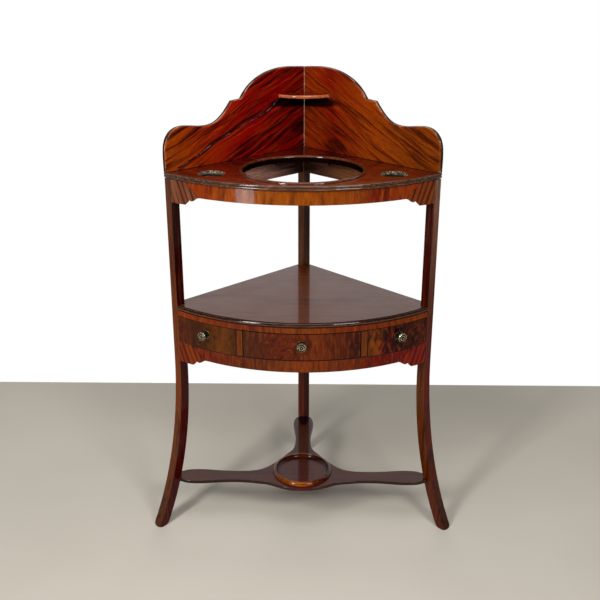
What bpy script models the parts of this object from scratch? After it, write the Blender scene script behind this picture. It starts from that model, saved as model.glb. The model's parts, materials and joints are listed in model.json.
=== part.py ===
"""Mahogany corner washstand: a quarter-round top with a basin hole and two cup holes under a
shaped two-board gallery, a bow-fronted case with one real drawer between two sham drawers,
three legs and a T-shaped stretcher with a turned dish. Metres, +Z up, front towards -Y."""

import math

import bmesh
import bpy
from mathutils import Matrix, Vector

# Overall sizes
SIDE_LENGTH = 0.442  # along each wall, rear corner to the outer face of a front leg
TOP_HEIGHT = 0.900
SHELF_HEIGHT = 0.582
BOW_DEPTH = 0.436  # rear corner to the middle of the case front
LEG = 0.022  # square section
SEAM = 0.0003  # between pieces that touch
OVERRUN = 0.010  # cutters run this far past what they cut
MERGE = 0.00001

# Front legs
FOOT_REACH = 0.0935  # how far the foot sweeps out along the wall
FOOT_SWELL = 0.0035
SWEEP_SQUARE_SHARE = 0.80
SWEEP_LEVELS = 18

# Top and its mouldings
TOP_THICKNESS = 0.012
TOP_OVERHANG = 0.0015  # past the outer face of a front leg
MOULDING_DEPTH = 0.0085
REED_RADIUS = 0.0028
BASIN_RADIUS = 0.137
BASIN_FRONT_LAND = 0.0215  # basin hole to the curved edge of the top
BEAD_WIDTH = 0.0095
BEAD_HEIGHT = 0.0045
CUP_RADIUS = 0.0315
CUP_FRONT_LAND = 0.02886  # cup hole to the curved edge of the top
CUP_WALL_LAND = 0.0530  # cup hole to its wall

# Gallery and its corner shelf
GALLERY_THICKNESS = 0.010
GALLERY_PEAK = 0.2045
CORNER_SHELF_RISE = 0.141  # top of the board to the top of the shelf
CORNER_SHELF_THICKNESS = 0.008
CORNER_SHELF_REACH = 0.098
CORNER_SHELF_BOW = 0.024

# Framing under the top
APRON_THICKNESS = 0.013
APRON_HEIGHT = 0.032
TOP_RAIL_THICKNESS = 0.018
TOP_RAIL_HEIGHT = 0.051
BRACKET_WIDTH = 0.068  # from the leg's arris to the end of the small lobe
BRACKET_DROP = 0.0215
BRACKET_SLANT = 0.033  # how far the joint with the rail leans
GLUE_BLOCK = 0.018
GLUE_BLOCK_LENGTH = 0.080
GLUE_BLOCK_GAP = 0.004  # between the two blocks, behind the rear leg

# Case
SHELF_THICKNESS = 0.010
SHELF_BEAD_DEPTH = 0.005
SHELF_BEAD_PROUD = 0.0015
SHELF_BEAD_QUIRK = 0.0015
UPPER_RAIL_HEIGHT = 0.015
UPPER_RAIL_DEPTH = 0.030
OPENING_HEIGHT = 0.0665
LOWER_RAIL_HEIGHT = 0.0300
LOWER_RAIL_DEPTH = 0.045
OPENING_HALF = 0.1355
MUNTIN_WIDTH = 0.0165
FRONT_THICKNESS = 0.018
CASE_SIDE_THICKNESS = 0.012
RUNNER_WIDTH = 0.031
RUNNER_HEIGHT = 0.015
GUIDE_HEIGHT = 0.020
STOP_THICKNESS = 0.006
STOP_DEPTH = 0.012
STOP_WIDTH = 0.030
STOP_APART = 0.085

# Drawer
DRAWER_GAP = 0.0008  # each side
DRAWER_LIP = 0.0010  # above and below the front
DRAWER_SIDE = 0.007
DRAWER_SIDE_HEIGHT = 0.058
DRAWER_CORNER_GAP = 0.01433  # drawer's rear corners short of the side boards
DRAWER_BACK_THICKNESS = 0.007
DRAWER_BACK_DROP = 0.006  # below the sides' tops
BOTTOM_THICKNESS = 0.004
BOTTOM_RISE = 0.0085
GUIDE_GAP = 0.0005
KICKER_GAP = 0.0015

# Knobs
KNOB_RADIUS = 0.0115
KNOB_STAND_OFF = 0.0180  # case front to the face of the knob
KNOB_RISE = 0.006  # above the middle of the opening
SIDE_KNOB_SHARE = 0.473  # of the sham drawer's sweep, from the muntin
PLATE_RADIUS = 0.0115
PLATE_THICKNESS = 0.0012
SHANK_RADIUS = 0.0020
SHANK_CLEARANCE = 0.0002
NUT_RADIUS = 0.0050
NUT_THICKNESS = 0.0030
SHANK_END = 0.0040  # past the back of the drawer front

# Stretcher and dish
STRETCHER_HEIGHT = 0.1237
STRETCHER_THICKNESS = 0.008
PADDLE_HALF = 0.0280  # widest half width of an arm, near its leg
ARM_SET_BACK = 0.003  # side arms' middle line behind the legs' inner arrises
ARM_WRAP = 0.004  # how far an arm's end reaches past the leg's arris
PLATFORM_RADIUS = 0.083
DISH_SET_BACK = 0.02534  # dish's centre behind the side arms' middle line
DISH_RADIUS = 0.0755
DISH_WALL = 0.0165
DISH_HEIGHT = 0.009
REAR_SEAM_BACK = 0.049  # dish centre to the joint with the rear arm

# Counts
BOW_STEP = math.radians(1.8)
RING_STEPS = 64
KNOB_STEPS = 20
NUT_SIDES = 6
CUP_STEPS = 28
CURVE_STEPS = 4
REED_STEPS = 6
SHELF_BEAD_STEPS = 8

SHARP_ANGLE = math.radians(35)  # flatter edges than this are shaded smooth
ROOT2 = math.sqrt(2)
SIDE_NAME = {-1: "left", 1: "right"}

# Heights that follow from the sizes above; the front legs sweep out below the brackets
TOP_UNDERSIDE = TOP_HEIGHT - TOP_THICKNESS
APRON_BOTTOM = TOP_UNDERSIDE - APRON_HEIGHT
SHELF_UNDERSIDE = SHELF_HEIGHT - SHELF_THICKNESS
OPENING_TOP = SHELF_UNDERSIDE - UPPER_RAIL_HEIGHT
OPENING_BOTTOM = OPENING_TOP - OPENING_HEIGHT
CASE_BOTTOM = OPENING_BOTTOM - LOWER_RAIL_HEIGHT
SWEEP_TOP = CASE_BOTTOM - BRACKET_DROP

# The top is a quarter round about the rear corner. The basin hole keeps its land to the curved
# edge, and each cup hole keeps its lands to that edge and to its wall.
TOP_RADIUS = SIDE_LENGTH + TOP_OVERHANG
BASIN_BACK = TOP_RADIUS - BASIN_FRONT_LAND - BASIN_RADIUS  # rear corner to the hole's centre
CUP_REACH = TOP_RADIUS - CUP_FRONT_LAND - CUP_RADIUS
CUP_OUT = CUP_WALL_LAND + CUP_RADIUS
CUP_ALONG = math.sqrt(CUP_REACH**2 - CUP_OUT**2)
CUP_APART = (CUP_ALONG - CUP_OUT) / ROOT2  # each cup hole's centre from the middle
CUP_BACK = (CUP_ALONG + CUP_OUT) / ROOT2

# The case front is an arc through the front arrises of the two front legs
ARRIS_HALF = (SIDE_LENGTH - LEG) / ROOT2
ARRIS_BACK = (SIDE_LENGTH + LEG) / ROOT2
BOW_RISE = BOW_DEPTH - ARRIS_BACK
BOW_RADIUS = (ARRIS_HALF**2 + BOW_RISE**2) / (2 * BOW_RISE)
BOW_CENTRE = BOW_RADIUS - BOW_DEPTH  # behind the rear corner
NUT_SAG = NUT_RADIUS**2 / (2 * BOW_RADIUS)  # how far the bow leaves a nut's flat face
DEPTH = BOW_DEPTH + KNOB_STAND_OFF

# The drawer's rear corners stop short of the side boards
DRAWER_HALF = OPENING_HALF - DRAWER_GAP
DRAWER_BACK_LINE = DRAWER_HALF + ROOT2 * CASE_SIDE_THICKNESS + DRAWER_CORNER_GAP

LOOKS = {
    "mahogany": ((0.150, 0.028, 0.010), 0.22, 0.0),
    "veneer": ((0.230, 0.060, 0.016), 0.20, 0.0),
    "dark_mahogany": ((0.075, 0.015, 0.008), 0.26, 0.0),
    "drawer_lining": ((0.360, 0.210, 0.090), 0.55, 0.0),
    "brass": ((0.420, 0.330, 0.180), 0.35, 1.0),
}


# Scene and object helpers


def empty_scene():
    for old in list(bpy.data.objects):
        bpy.data.objects.remove(old, do_unlink=True)


def collection(name):
    group = bpy.data.collections.new(name)
    bpy.context.scene.collection.children.link(group)
    return group


def finish(piece, look):
    colour, roughness, metallic = LOOKS[look]
    material = bpy.data.materials.new(piece.name + "_finish")
    material.use_nodes = True
    shader = material.node_tree.nodes["Principled BSDF"]
    shader.inputs["Base Color"].default_value = (*colour, 1.0)
    shader.inputs["Roughness"].default_value = roughness
    shader.inputs["Metallic"].default_value = metallic
    piece.data.materials.append(material)


def carrier(name, place=(0, 0, 0), turn=0.0, parent=None):
    """An empty that carries pieces; its own place is in its parent's frame."""
    empty = bpy.data.objects.new(name, None)
    empty.location = place
    empty.rotation_euler = (0, 0, turn)
    empty.parent = parent
    PIECES.objects.link(empty)
    return empty


def piece(name, mesh, look, parent, place=(0, 0, 0), turn=(0, 0, 0)):
    mesh.shade_smooth()
    mesh.set_sharp_from_angle(angle=SHARP_ANGLE)
    part = bpy.data.objects.new(name, mesh)
    part.location = place
    part.rotation_euler = turn
    part.parent = parent
    PIECES.objects.link(part)
    finish(part, look)
    return part


def cutter(name, mesh, parent, place=(0, 0, 0), turn=(0, 0, 0)):
    tool = bpy.data.objects.new(name, mesh)
    tool.location = place
    tool.rotation_euler = turn
    tool.parent = parent
    tool.hide_render = True
    tool.display_type = "WIRE"
    CUTTERS.objects.link(tool)
    return tool


def boolean(part, tool, operation):
    modifier = part.modifiers.new(tool.name, "BOOLEAN")
    modifier.operation = operation
    modifier.solver = "EXACT"
    modifier.object = tool


# Mesh helpers


def box_mesh(name, low, high):
    low, high = Vector(low), Vector(high)
    cube = bmesh.new()
    bmesh.ops.create_cube(cube, size=1)
    size = high - low
    bmesh.ops.scale(cube, vec=size, verts=cube.verts)
    bmesh.ops.translate(cube, vec=(low + high) / 2, verts=cube.verts)
    mesh = bpy.data.meshes.new(name)
    cube.to_mesh(mesh)
    cube.free()
    return mesh


def plate_mesh(name, loops, thickness):
    """A flat plate from z = 0 to its thickness. Each loop is a list of (x, y) corners, or of
    (x, y, bent) points where bent ones lie on a smooth curve; loops after the first are holes."""
    outline = bpy.data.curves.new(name, "CURVE")
    outline.dimensions = "2D"
    outline.fill_mode = "BOTH"
    outline.extrude = thickness / 2
    outline.resolution_u = CURVE_STEPS
    for loop in loops:
        bezier = len(loop[0]) == 3
        spline = outline.splines.new("BEZIER" if bezier else "POLY")
        spline.use_cyclic_u = True
        points = spline.bezier_points if bezier else spline.points
        points.add(len(loop) - 1)
        for point, spot in zip(points, loop):
            if bezier:
                point.co = (spot[0], spot[1], 0)
                kind = "AUTO" if spot[2] else "VECTOR"
                point.handle_left_type = kind
                point.handle_right_type = kind
            else:
                point.co = (spot[0], spot[1], 0, 1)
    holder = bpy.data.objects.new(name + "_outline", outline)
    bpy.context.scene.collection.objects.link(holder)
    bpy.context.view_layer.update()
    graph = bpy.context.evaluated_depsgraph_get()
    mesh = bpy.data.meshes.new_from_object(holder.evaluated_get(graph))
    mesh.name = name
    bpy.data.objects.remove(holder, do_unlink=True)
    plate = bmesh.new()
    plate.from_mesh(mesh)
    bmesh.ops.remove_doubles(plate, verts=plate.verts, dist=MERGE)
    bmesh.ops.translate(plate, vec=(0, 0, thickness / 2), verts=plate.verts)
    bmesh.ops.recalc_face_normals(plate, faces=plate.faces)
    plate.to_mesh(mesh)
    plate.free()
    return mesh


def cut_off(mesh, point, normal):
    """Takes away what lies on the normal's side of a plane and closes the cut."""
    body = bmesh.new()
    body.from_mesh(mesh)
    geometry = body.verts[:] + body.edges[:] + body.faces[:]
    bmesh.ops.bisect_plane(body, geom=geometry, plane_co=point, plane_no=normal, clear_outer=True)
    open_edges = [edge for edge in body.edges if edge.is_boundary]
    bmesh.ops.edgenet_fill(body, edges=open_edges)
    bmesh.ops.recalc_face_normals(body, faces=body.faces)
    body.to_mesh(mesh)
    body.free()


def turned(name, profile, steps, look, parent, place=(0, 0, 0), turn=(0, 0, 0), closed=False):
    """A turned piece about its own Z from a profile of (radius, height) points."""
    mesh = bpy.data.meshes.new(name)
    edges = [(i, i + 1) for i in range(len(profile) - 1)]
    if closed:
        edges.append((len(profile) - 1, 0))
    mesh.from_pydata([(radius, 0, height) for radius, height in profile], edges, [])
    part = piece(name, mesh, look, parent, place, turn)
    screw(part, steps)
    return part


def screw(part, steps):
    modifier = part.modifiers.new("turning", "SCREW")
    modifier.axis = "Z"
    modifier.angle = 2 * math.pi
    modifier.steps = steps
    modifier.render_steps = steps
    modifier.use_merge_vertices = True
    modifier.merge_threshold = MERGE
    modifier.use_smooth_shade = True


# Plan geometry, from the rear corner


def arc(radius, start, end, centre=0.0):
    """Points on a bow-front arc. Angles are from the middle of the front."""
    count = max(2, math.ceil(abs(end - start) / BOW_STEP))
    angles = [start + (end - start) * i / count for i in range(count + 1)]
    return [(radius * math.sin(a), centre - radius * math.cos(a)) for a in angles]


def bow(radius, start, end):
    return arc(radius, start, end, BOW_CENTRE)


def wall_point(side, along, out):
    """Plan point at a distance along one wall and a distance out from it."""
    return (side * (along - out) / ROOT2, -(along + out) / ROOT2)


def leg_angle(radius):
    """Angle at which a bow arc meets the inner face of the right front leg."""
    out = LEG + SEAM
    half = BOW_CENTRE / ROOT2
    along = -half + math.sqrt(radius**2 - (out + half) ** 2)
    x, y = wall_point(1, along, out)
    return math.atan2(x, BOW_CENTRE - y)


def width_angle(radius, x):
    return math.asin(x / radius)


def bow_band(outer, inner):
    """Outline of a bow-fronted strip from leg to leg."""
    front = bow(outer, -leg_angle(outer), leg_angle(outer))
    back = bow(inner, leg_angle(inner), -leg_angle(inner))
    return front + back


def bow_block(outer, inner, x0, x1):
    """Outline of a bow-fronted block between two widths."""
    front = bow(outer, width_angle(outer, x0), width_angle(outer, x1))
    back = bow(inner, width_angle(inner, x1), width_angle(inner, x0))
    return front + back


def circle(radius, centre_x, centre_y, steps):
    angles = [2 * math.pi * i / steps for i in range(steps)]
    return [(centre_x + radius * math.cos(a), centre_y + radius * math.sin(a)) for a in angles]


def bow_y(radius, x):
    return BOW_CENTRE - math.sqrt(radius**2 - x**2)


def side_board_y(x, out):
    """Where the inner face of a side board stands at a distance from the middle."""
    return -(abs(x) + ROOT2 * out)


# Legs


def sweep(height):
    """How far a front leg has swept out at a height, as a share of the whole sweep."""
    down = max(0.0, 1 - height / SWEEP_TOP)
    return SWEEP_SQUARE_SHARE * down**2 + (1 - SWEEP_SQUARE_SHARE) * down**4


def swell(height):
    down = max(0.0, 1 - height / SWEEP_TOP)
    return FOOT_SWELL * (1 - (1 - down) ** 2)


def leg_inner_face(height):
    """Distance along the wall to the inner face of a front leg."""
    return SIDE_LENGTH + FOOT_REACH * sweep(height) - LEG - swell(height)


def front_leg_mesh(side, grow=0.0):
    """A swept leg; grow makes the cutter that notches the stretcher round it."""
    height = TOP_UNDERSIDE - SEAM
    width = LEG + 2 * grow
    blank = bmesh.new()
    bmesh.ops.create_cube(blank, size=1)
    bmesh.ops.scale(blank, vec=(width, width, height), verts=blank.verts)
    middle = (SIDE_LENGTH - LEG / 2, -side * LEG / 2, height / 2)
    bmesh.ops.translate(blank, vec=middle, verts=blank.verts)
    for level in range(1, SWEEP_LEVELS + 1):
        geometry = blank.verts[:] + blank.edges[:] + blank.faces[:]
        cut = (0, 0, SWEEP_TOP * level / SWEEP_LEVELS)
        bmesh.ops.bisect_plane(blank, geom=geometry, plane_co=cut, plane_no=(0, 0, 1))
    for corner in blank.verts:
        inner = corner.co.x < middle[0]
        away = abs(corner.co.y) > LEG / 2
        corner.co.x += FOOT_REACH * sweep(corner.co.z) - inner * swell(corner.co.z)
        corner.co.y -= side * away * swell(corner.co.z)
    mesh = bpy.data.meshes.new("front_leg")
    blank.to_mesh(mesh)
    blank.free()
    return mesh


def front_leg(side, wall):
    piece("front_leg_" + SIDE_NAME[side], front_leg_mesh(side), "mahogany", wall)


def rear_leg(root):
    mesh = box_mesh("rear_leg", (0, 0, 0), (LEG, LEG, TOP_UNDERSIDE - SEAM))
    piece("rear_leg", mesh, "dark_mahogany", root, turn=(0, 0, math.radians(-135)))


# Top, gallery and their framing


def top_board(root):
    radius = TOP_RADIUS - MOULDING_DEPTH - SEAM
    quarter = math.radians(45)
    outline = [(0, 0)] + arc(radius, -quarter, quarter)
    basin = circle(BASIN_RADIUS, 0, -BASIN_BACK, RING_STEPS)
    cups = [circle(CUP_RADIUS, side * CUP_APART, -CUP_BACK, CUP_STEPS) for side in (-1, 1)]
    mesh = plate_mesh("top_board", [outline, basin] + cups, TOP_THICKNESS)
    piece("top_board", mesh, "mahogany", root, (0, 0, TOP_UNDERSIDE))


def half_round(centre_radius, low, radius, steps):
    """A half round on the outer side of a turned profile, top to bottom."""
    middle = low + radius
    angles = [math.pi * (0.5 - i / steps) for i in range(steps + 1)]
    return [(centre_radius + radius * math.cos(a), middle + radius * math.sin(a)) for a in angles]


def top_moulding(root):
    base = TOP_RADIUS - REED_RADIUS
    inner = TOP_RADIUS - MOULDING_DEPTH
    lower = TOP_THICKNESS - 4 * REED_RADIUS
    reeds = half_round(base, lower + 2 * REED_RADIUS, REED_RADIUS, REED_STEPS)
    reeds += half_round(base, lower, REED_RADIUS, REED_STEPS)[1:]
    profile = [(inner, TOP_THICKNESS)] + reeds + [(inner, lower)]
    steps = round(2 * math.pi / BOW_STEP)
    place = (0, 0, TOP_UNDERSIDE)
    part = turned("top_edge_moulding", profile, steps, "mahogany", root, place, closed=True)
    reach = TOP_RADIUS + OVERRUN
    high = TOP_THICKNESS + OVERRUN
    quarter = box_mesh("moulding_quarter", (0, 0, -OVERRUN), (reach, reach, high))
    tool = cutter("moulding_quarter", quarter, root, place, (0, 0, math.radians(-135)))
    boolean(part, tool, "INTERSECT")


BEAD_SHARES = [
    (0.00, 0.00),
    (0.04, 0.45),
    (0.22, 0.85),
    (0.45, 1.00),
    (0.72, 0.80),
    (1.00, 0.00),
]  # share of the bead's width from the hole, share of its height


def basin_bead(root):
    """A bead round the basin hole; its crown is nearer the hole than the outside."""
    profile = [(BASIN_RADIUS + x * BEAD_WIDTH, z * BEAD_HEIGHT) for x, z in BEAD_SHARES]
    place = (0, -BASIN_BACK, TOP_HEIGHT + SEAM)
    turned("basin_bead", profile, RING_STEPS, "mahogany", root, place, closed=True)


GALLERY_SHARES = [
    (0.000, 0.978, 0),
    (0.085, 0.993, 1),
    (0.170, 1.000, 1),
    (0.262, 0.980, 1),
    (0.340, 0.934, 1),
    (0.412, 0.856, 1),
    (0.463, 0.763, 1),
    (0.489, 0.692, 0),
    (0.555, 0.682, 0),
    (0.586, 0.606, 1),
    (0.622, 0.533, 1),
    (0.662, 0.478, 1),
    (0.706, 0.452, 1),
    (0.765, 0.452, 1),
    (0.835, 0.472, 1),
    (0.897, 0.480, 1),
    (0.943, 0.455, 1),
    (0.976, 0.396, 1),
    (0.994, 0.318, 1),
    (1.000, 0.235, 1),
    (1.000, 0.000, 0),
    (0.000, 0.000, 0),
]  # share of the board's length from the corner, share of its peak, bent


def gallery_board(side, wall):
    length = TOP_RADIUS
    outline = [(x * length, z * GALLERY_PEAK, bent) for x, z, bent in GALLERY_SHARES]
    mesh = plate_mesh("gallery_" + SIDE_NAME[side], [outline], GALLERY_THICKNESS)
    stand = Matrix.Rotation(math.radians(90), 4, "X")
    mesh.transform(stand)
    if side < 0:
        mesh.transform(Matrix.Translation((0, GALLERY_THICKNESS, 0)))
    mitre = Vector((-1, -side, 0)) / ROOT2
    cut_off(mesh, -mitre * SEAM / 2, mitre)
    piece("gallery_" + SIDE_NAME[side], mesh, "veneer", wall, (0, 0, TOP_HEIGHT + SEAM))


def corner_shelf(root):
    out = GALLERY_THICKNESS + SEAM
    right = wall_point(1, CORNER_SHELF_REACH, out)
    half = right[0]
    radius = (half**2 + CORNER_SHELF_BOW**2) / (2 * CORNER_SHELF_BOW)
    reach = math.asin(half / radius)
    centre = right[1] + radius * math.cos(reach)
    outline = [wall_point(1, out, out)] + arc(radius, -reach, reach, centre)
    mesh = plate_mesh("corner_shelf", [outline], CORNER_SHELF_THICKNESS)
    top = TOP_HEIGHT + CORNER_SHELF_RISE
    piece("corner_shelf", mesh, "mahogany", root, (0, 0, top - CORNER_SHELF_THICKNESS))


def elevation_plate(name, outline):
    """A plate in the XZ plane, deep enough to cross the whole bow front."""
    deep = BOW_DEPTH - ARRIS_BACK + LOWER_RAIL_DEPTH + 2 * OVERRUN
    mesh = plate_mesh(name, [outline], deep)
    mesh.transform(Matrix.Rotation(math.radians(90), 4, "X"))
    mesh.transform(Matrix.Translation((0, -BOW_DEPTH + deep - OVERRUN, 0)))
    return mesh


def bow_piece(name, outline, outer, inner, low, high, look, root):
    """A bow-fronted piece with a shaped front: its elevation cut to the plan of the bow."""
    part = piece(name, elevation_plate(name, outline), look, root)
    band = plate_mesh(name + "_plan", [bow_band(outer, inner)], high - low + 2 * OVERRUN)
    tool = cutter(name + "_plan", band, root, (0, 0, low - OVERRUN))
    boolean(part, tool, "INTERSECT")


BRACKET_SHARES = [
    (0.00, 1.00, 0),
    (0.25, 0.99, 1),
    (0.46, 0.95, 1),
    (0.53, 0.93, 0),
    (0.60, 0.70, 1),
    (0.68, 0.40, 0),
    (0.75, 0.47, 1),
    (0.84, 0.34, 1),
    (0.93, 0.11, 1),
    (1.00, 0.00, 0),
]  # share of the bracket's width from the leg's arris, share of its drop, bent


def bracket_edge(side, rail_bottom):
    """Lower edge of a bracket, from the leg to the tip of its small lobe."""
    edge = []
    for across, down, bent in BRACKET_SHARES:
        x = side * (ARRIS_HALF - across * BRACKET_WIDTH)
        edge.append((x, rail_bottom - down * BRACKET_DROP, bent))
    return edge


def bracket(name, side, inner, rail_bottom, rail_top, root):
    edge = bracket_edge(side, rail_bottom)
    past = side * (ARRIS_HALF + OVERRUN)
    tip = edge[-1][0]
    head = (tip + side * BRACKET_SLANT, rail_top, 0)
    outline = [(past, rail_top, 0), (past, edge[0][1], 0)] + edge + [head]
    low = rail_bottom - BRACKET_DROP
    bow_piece(name, outline, BOW_RADIUS, inner, low, rail_top, "veneer", root)


def shaped_rail(name, inner, rail_bottom, rail_top, look, root):
    """The rail between two brackets, with slanting ends that meet them."""
    tip = ARRIS_HALF - BRACKET_WIDTH - SEAM
    head = tip + BRACKET_SLANT
    outline = [(-tip, rail_bottom), (tip, rail_bottom), (head, rail_top), (-head, rail_top)]
    bow_piece(name, outline, BOW_RADIUS, inner, rail_bottom, rail_top, look, root)


def top_framing(root, walls):
    inner = BOW_RADIUS - APRON_THICKNESS
    top = TOP_UNDERSIDE - SEAM
    shaped_rail("top_apron", inner, APRON_BOTTOM, top, "veneer", root)
    for side, wall in walls.items():
        name = SIDE_NAME[side]
        bracket("top_bracket_" + name, side, inner, APRON_BOTTOM, top, root)
        top_rail(name, side, wall, top)
        glue_block(name, side, wall, top)


def wall_box(name, side, wall, along, out, low, high, look):
    """A box against one wall, by its distances along the wall and out from it."""
    near, far = sorted((-side * out[0], -side * out[1]))
    mesh = box_mesh(name, (along[0], near, 0), (along[1], far, high - low))
    piece(name, mesh, look, wall, (0, 0, low))


def top_rail(name, side, wall, top):
    along = (LEG + SEAM, SIDE_LENGTH - LEG - SEAM)
    out = (0, TOP_RAIL_THICKNESS)
    low = TOP_UNDERSIDE - TOP_RAIL_HEIGHT
    wall_box("top_rail_" + name, side, wall, along, out, low, top, "dark_mahogany")


def glue_block(name, side, wall, top):
    inner = TOP_RAIL_THICKNESS + SEAM
    start = inner + GLUE_BLOCK + GLUE_BLOCK_GAP
    along = (start, start + GLUE_BLOCK_LENGTH)
    out = (inner, inner + GLUE_BLOCK)
    low = top - GLUE_BLOCK
    wall_box("top_glue_block_" + name, side, wall, along, out, low, top, "drawer_lining")


# Case


def shelf_board(root):
    out = LEG + SEAM
    near_leg = SIDE_LENGTH - LEG - SEAM
    outer = BOW_RADIUS - SHELF_BEAD_DEPTH - SEAM
    right = [wall_point(1, out, 0), wall_point(1, near_leg, 0), wall_point(1, near_leg, out)]
    left = [(-x, y) for x, y in right[::-1]]
    front = bow(outer, leg_angle(outer), -leg_angle(outer))
    outline = [wall_point(1, out, out)] + right + front + left
    mesh = plate_mesh("shelf_board", [outline], SHELF_THICKNESS)
    piece("shelf_board", mesh, "mahogany", root, (0, 0, SHELF_UNDERSIDE))


def shelf_bead(root):
    inner = BOW_RADIUS - SHELF_BEAD_DEPTH
    outer = BOW_RADIUS + SHELF_BEAD_PROUD
    radius = (SHELF_THICKNESS - SEAM) / 2
    crown = half_round(outer - radius, SEAM, radius, SHELF_BEAD_STEPS)
    quirk_top = radius + SEAM
    profile = [(inner, quirk_top), (inner + SHELF_BEAD_QUIRK, quirk_top)] + crown[1:]
    profile += [(inner, SEAM)]
    steps = round(2 * math.pi / BOW_STEP)
    place = (0, BOW_CENTRE, SHELF_UNDERSIDE)
    part = turned("shelf_bead", profile, steps, "mahogany", root, place, closed=True)
    near = LEG + SEAM
    far = SIDE_LENGTH + BOW_RISE + OVERRUN
    high = SHELF_THICKNESS + OVERRUN
    between = box_mesh("between_legs", (near, near, -OVERRUN), (far, far, high))
    corner = (0, 0, SHELF_UNDERSIDE)
    tool = cutter("between_legs", between, root, corner, (0, 0, math.radians(-135)))
    boolean(part, tool, "INTERSECT")


def case_rails(root):
    upper = plate_mesh(
        "case_rail_upper",
        [bow_band(BOW_RADIUS, BOW_RADIUS - UPPER_RAIL_DEPTH)],
        UPPER_RAIL_HEIGHT - SEAM,
    )
    piece("case_rail_upper", upper, "veneer", root, (0, 0, OPENING_TOP))
    inner = BOW_RADIUS - LOWER_RAIL_DEPTH
    shaped_rail("case_rail_lower", inner, CASE_BOTTOM, OPENING_BOTTOM, "veneer", root)
    for side, name in SIDE_NAME.items():
        bracket("lower_bracket_" + name, side, inner, CASE_BOTTOM, OPENING_BOTTOM, root)


# A sham drawer runs from its muntin to the leg and carries a side knob
SHAM_START = OPENING_HALF + MUNTIN_WIDTH + SEAM
SHAM_START_ANGLE = width_angle(BOW_RADIUS, SHAM_START)
SHAM_SWEEP = leg_angle(BOW_RADIUS) - SHAM_START_ANGLE
SIDE_KNOB_ANGLE = SHAM_START_ANGLE + SIDE_KNOB_SHARE * SHAM_SWEEP


def front_blocks(root):
    """Muntins and sham drawers, which stand in the opening between the rails."""
    inner = BOW_RADIUS - FRONT_THICKNESS
    low = OPENING_BOTTOM + SEAM
    height = OPENING_HEIGHT - 2 * SEAM
    for side, name in SIDE_NAME.items():
        edges = sorted((side * OPENING_HALF, side * (OPENING_HALF + MUNTIN_WIDTH)))
        outline = bow_block(BOW_RADIUS, inner, *edges)
        muntin = plate_mesh("muntin_" + name, [outline], height)
        piece("muntin_" + name, muntin, "veneer", root, (0, 0, low))
        front = bow(BOW_RADIUS, SHAM_START_ANGLE, leg_angle(BOW_RADIUS))
        back = bow(inner, leg_angle(inner), width_angle(inner, SHAM_START))
        outline = [(side * x, y) for x, y in front + back]
        sham = plate_mesh("sham_drawer_" + name, [outline], height)
        part = piece("sham_drawer_" + name, sham, "veneer", root, (0, 0, low))
        drill(part, side * SIDE_KNOB_ANGLE, root)


def case_sides(walls):
    along = (LEG + SEAM, SIDE_LENGTH - LEG - SEAM)
    for side, wall in walls.items():
        name = "case_side_" + SIDE_NAME[side]
        out = (0, CASE_SIDE_THICKNESS)
        wall_box(name, side, wall, along, out, CASE_BOTTOM, SHELF_UNDERSIDE - SEAM, "dark_mahogany")


def strip(name, side, x0, x1, front_radius, low, height, root):
    """A lining strip beside the drawer, from the front rail back to the side board."""
    out = CASE_SIDE_THICKNESS + SEAM
    radius = front_radius - SEAM
    corners = [
        (x0, bow_y(radius, x0)),
        (x1, bow_y(radius, x1)),
        (x1, side_board_y(x1, out)),
        (x0, side_board_y(x0, out)),
    ]
    outline = [(side * x, y) for x, y in corners]
    mesh = plate_mesh(name, [outline], height)
    piece(name, mesh, "drawer_lining", root, (0, 0, low))


def drawer_linings(root):
    outer = OPENING_HALF + MUNTIN_WIDTH
    runner_top = OPENING_BOTTOM
    side_top = OPENING_BOTTOM + SEAM + DRAWER_SIDE_HEIGHT
    rail_back = BOW_RADIUS - LOWER_RAIL_DEPTH
    muntin_back = BOW_RADIUS - FRONT_THICKNESS
    upper_back = BOW_RADIUS - UPPER_RAIL_DEPTH
    kicker_low = side_top + KICKER_GAP
    for side, name in SIDE_NAME.items():
        strip("drawer_runner_" + name, side, outer - RUNNER_WIDTH, outer, rail_back,
              runner_top - RUNNER_HEIGHT, RUNNER_HEIGHT, root)
        strip("drawer_guide_" + name, side, OPENING_HALF + GUIDE_GAP, outer, muntin_back,
              runner_top + SEAM, GUIDE_HEIGHT, root)
        strip("drawer_kicker_" + name, side, outer - RUNNER_WIDTH, outer, upper_back,
              kicker_low, SHELF_UNDERSIDE - SEAM - kicker_low, root)
        middle = side * STOP_APART
        edges = (middle - STOP_WIDTH / 2, middle + STOP_WIDTH / 2)
        face = muntin_back - SEAM
        outline = bow_block(face, face - STOP_DEPTH, *edges)
        stop = plate_mesh("drawer_stop_" + name, [outline], STOP_THICKNESS)
        piece("drawer_stop_" + name, stop, "drawer_lining", root, (0, 0, runner_top + SEAM))


# Drawer


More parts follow.
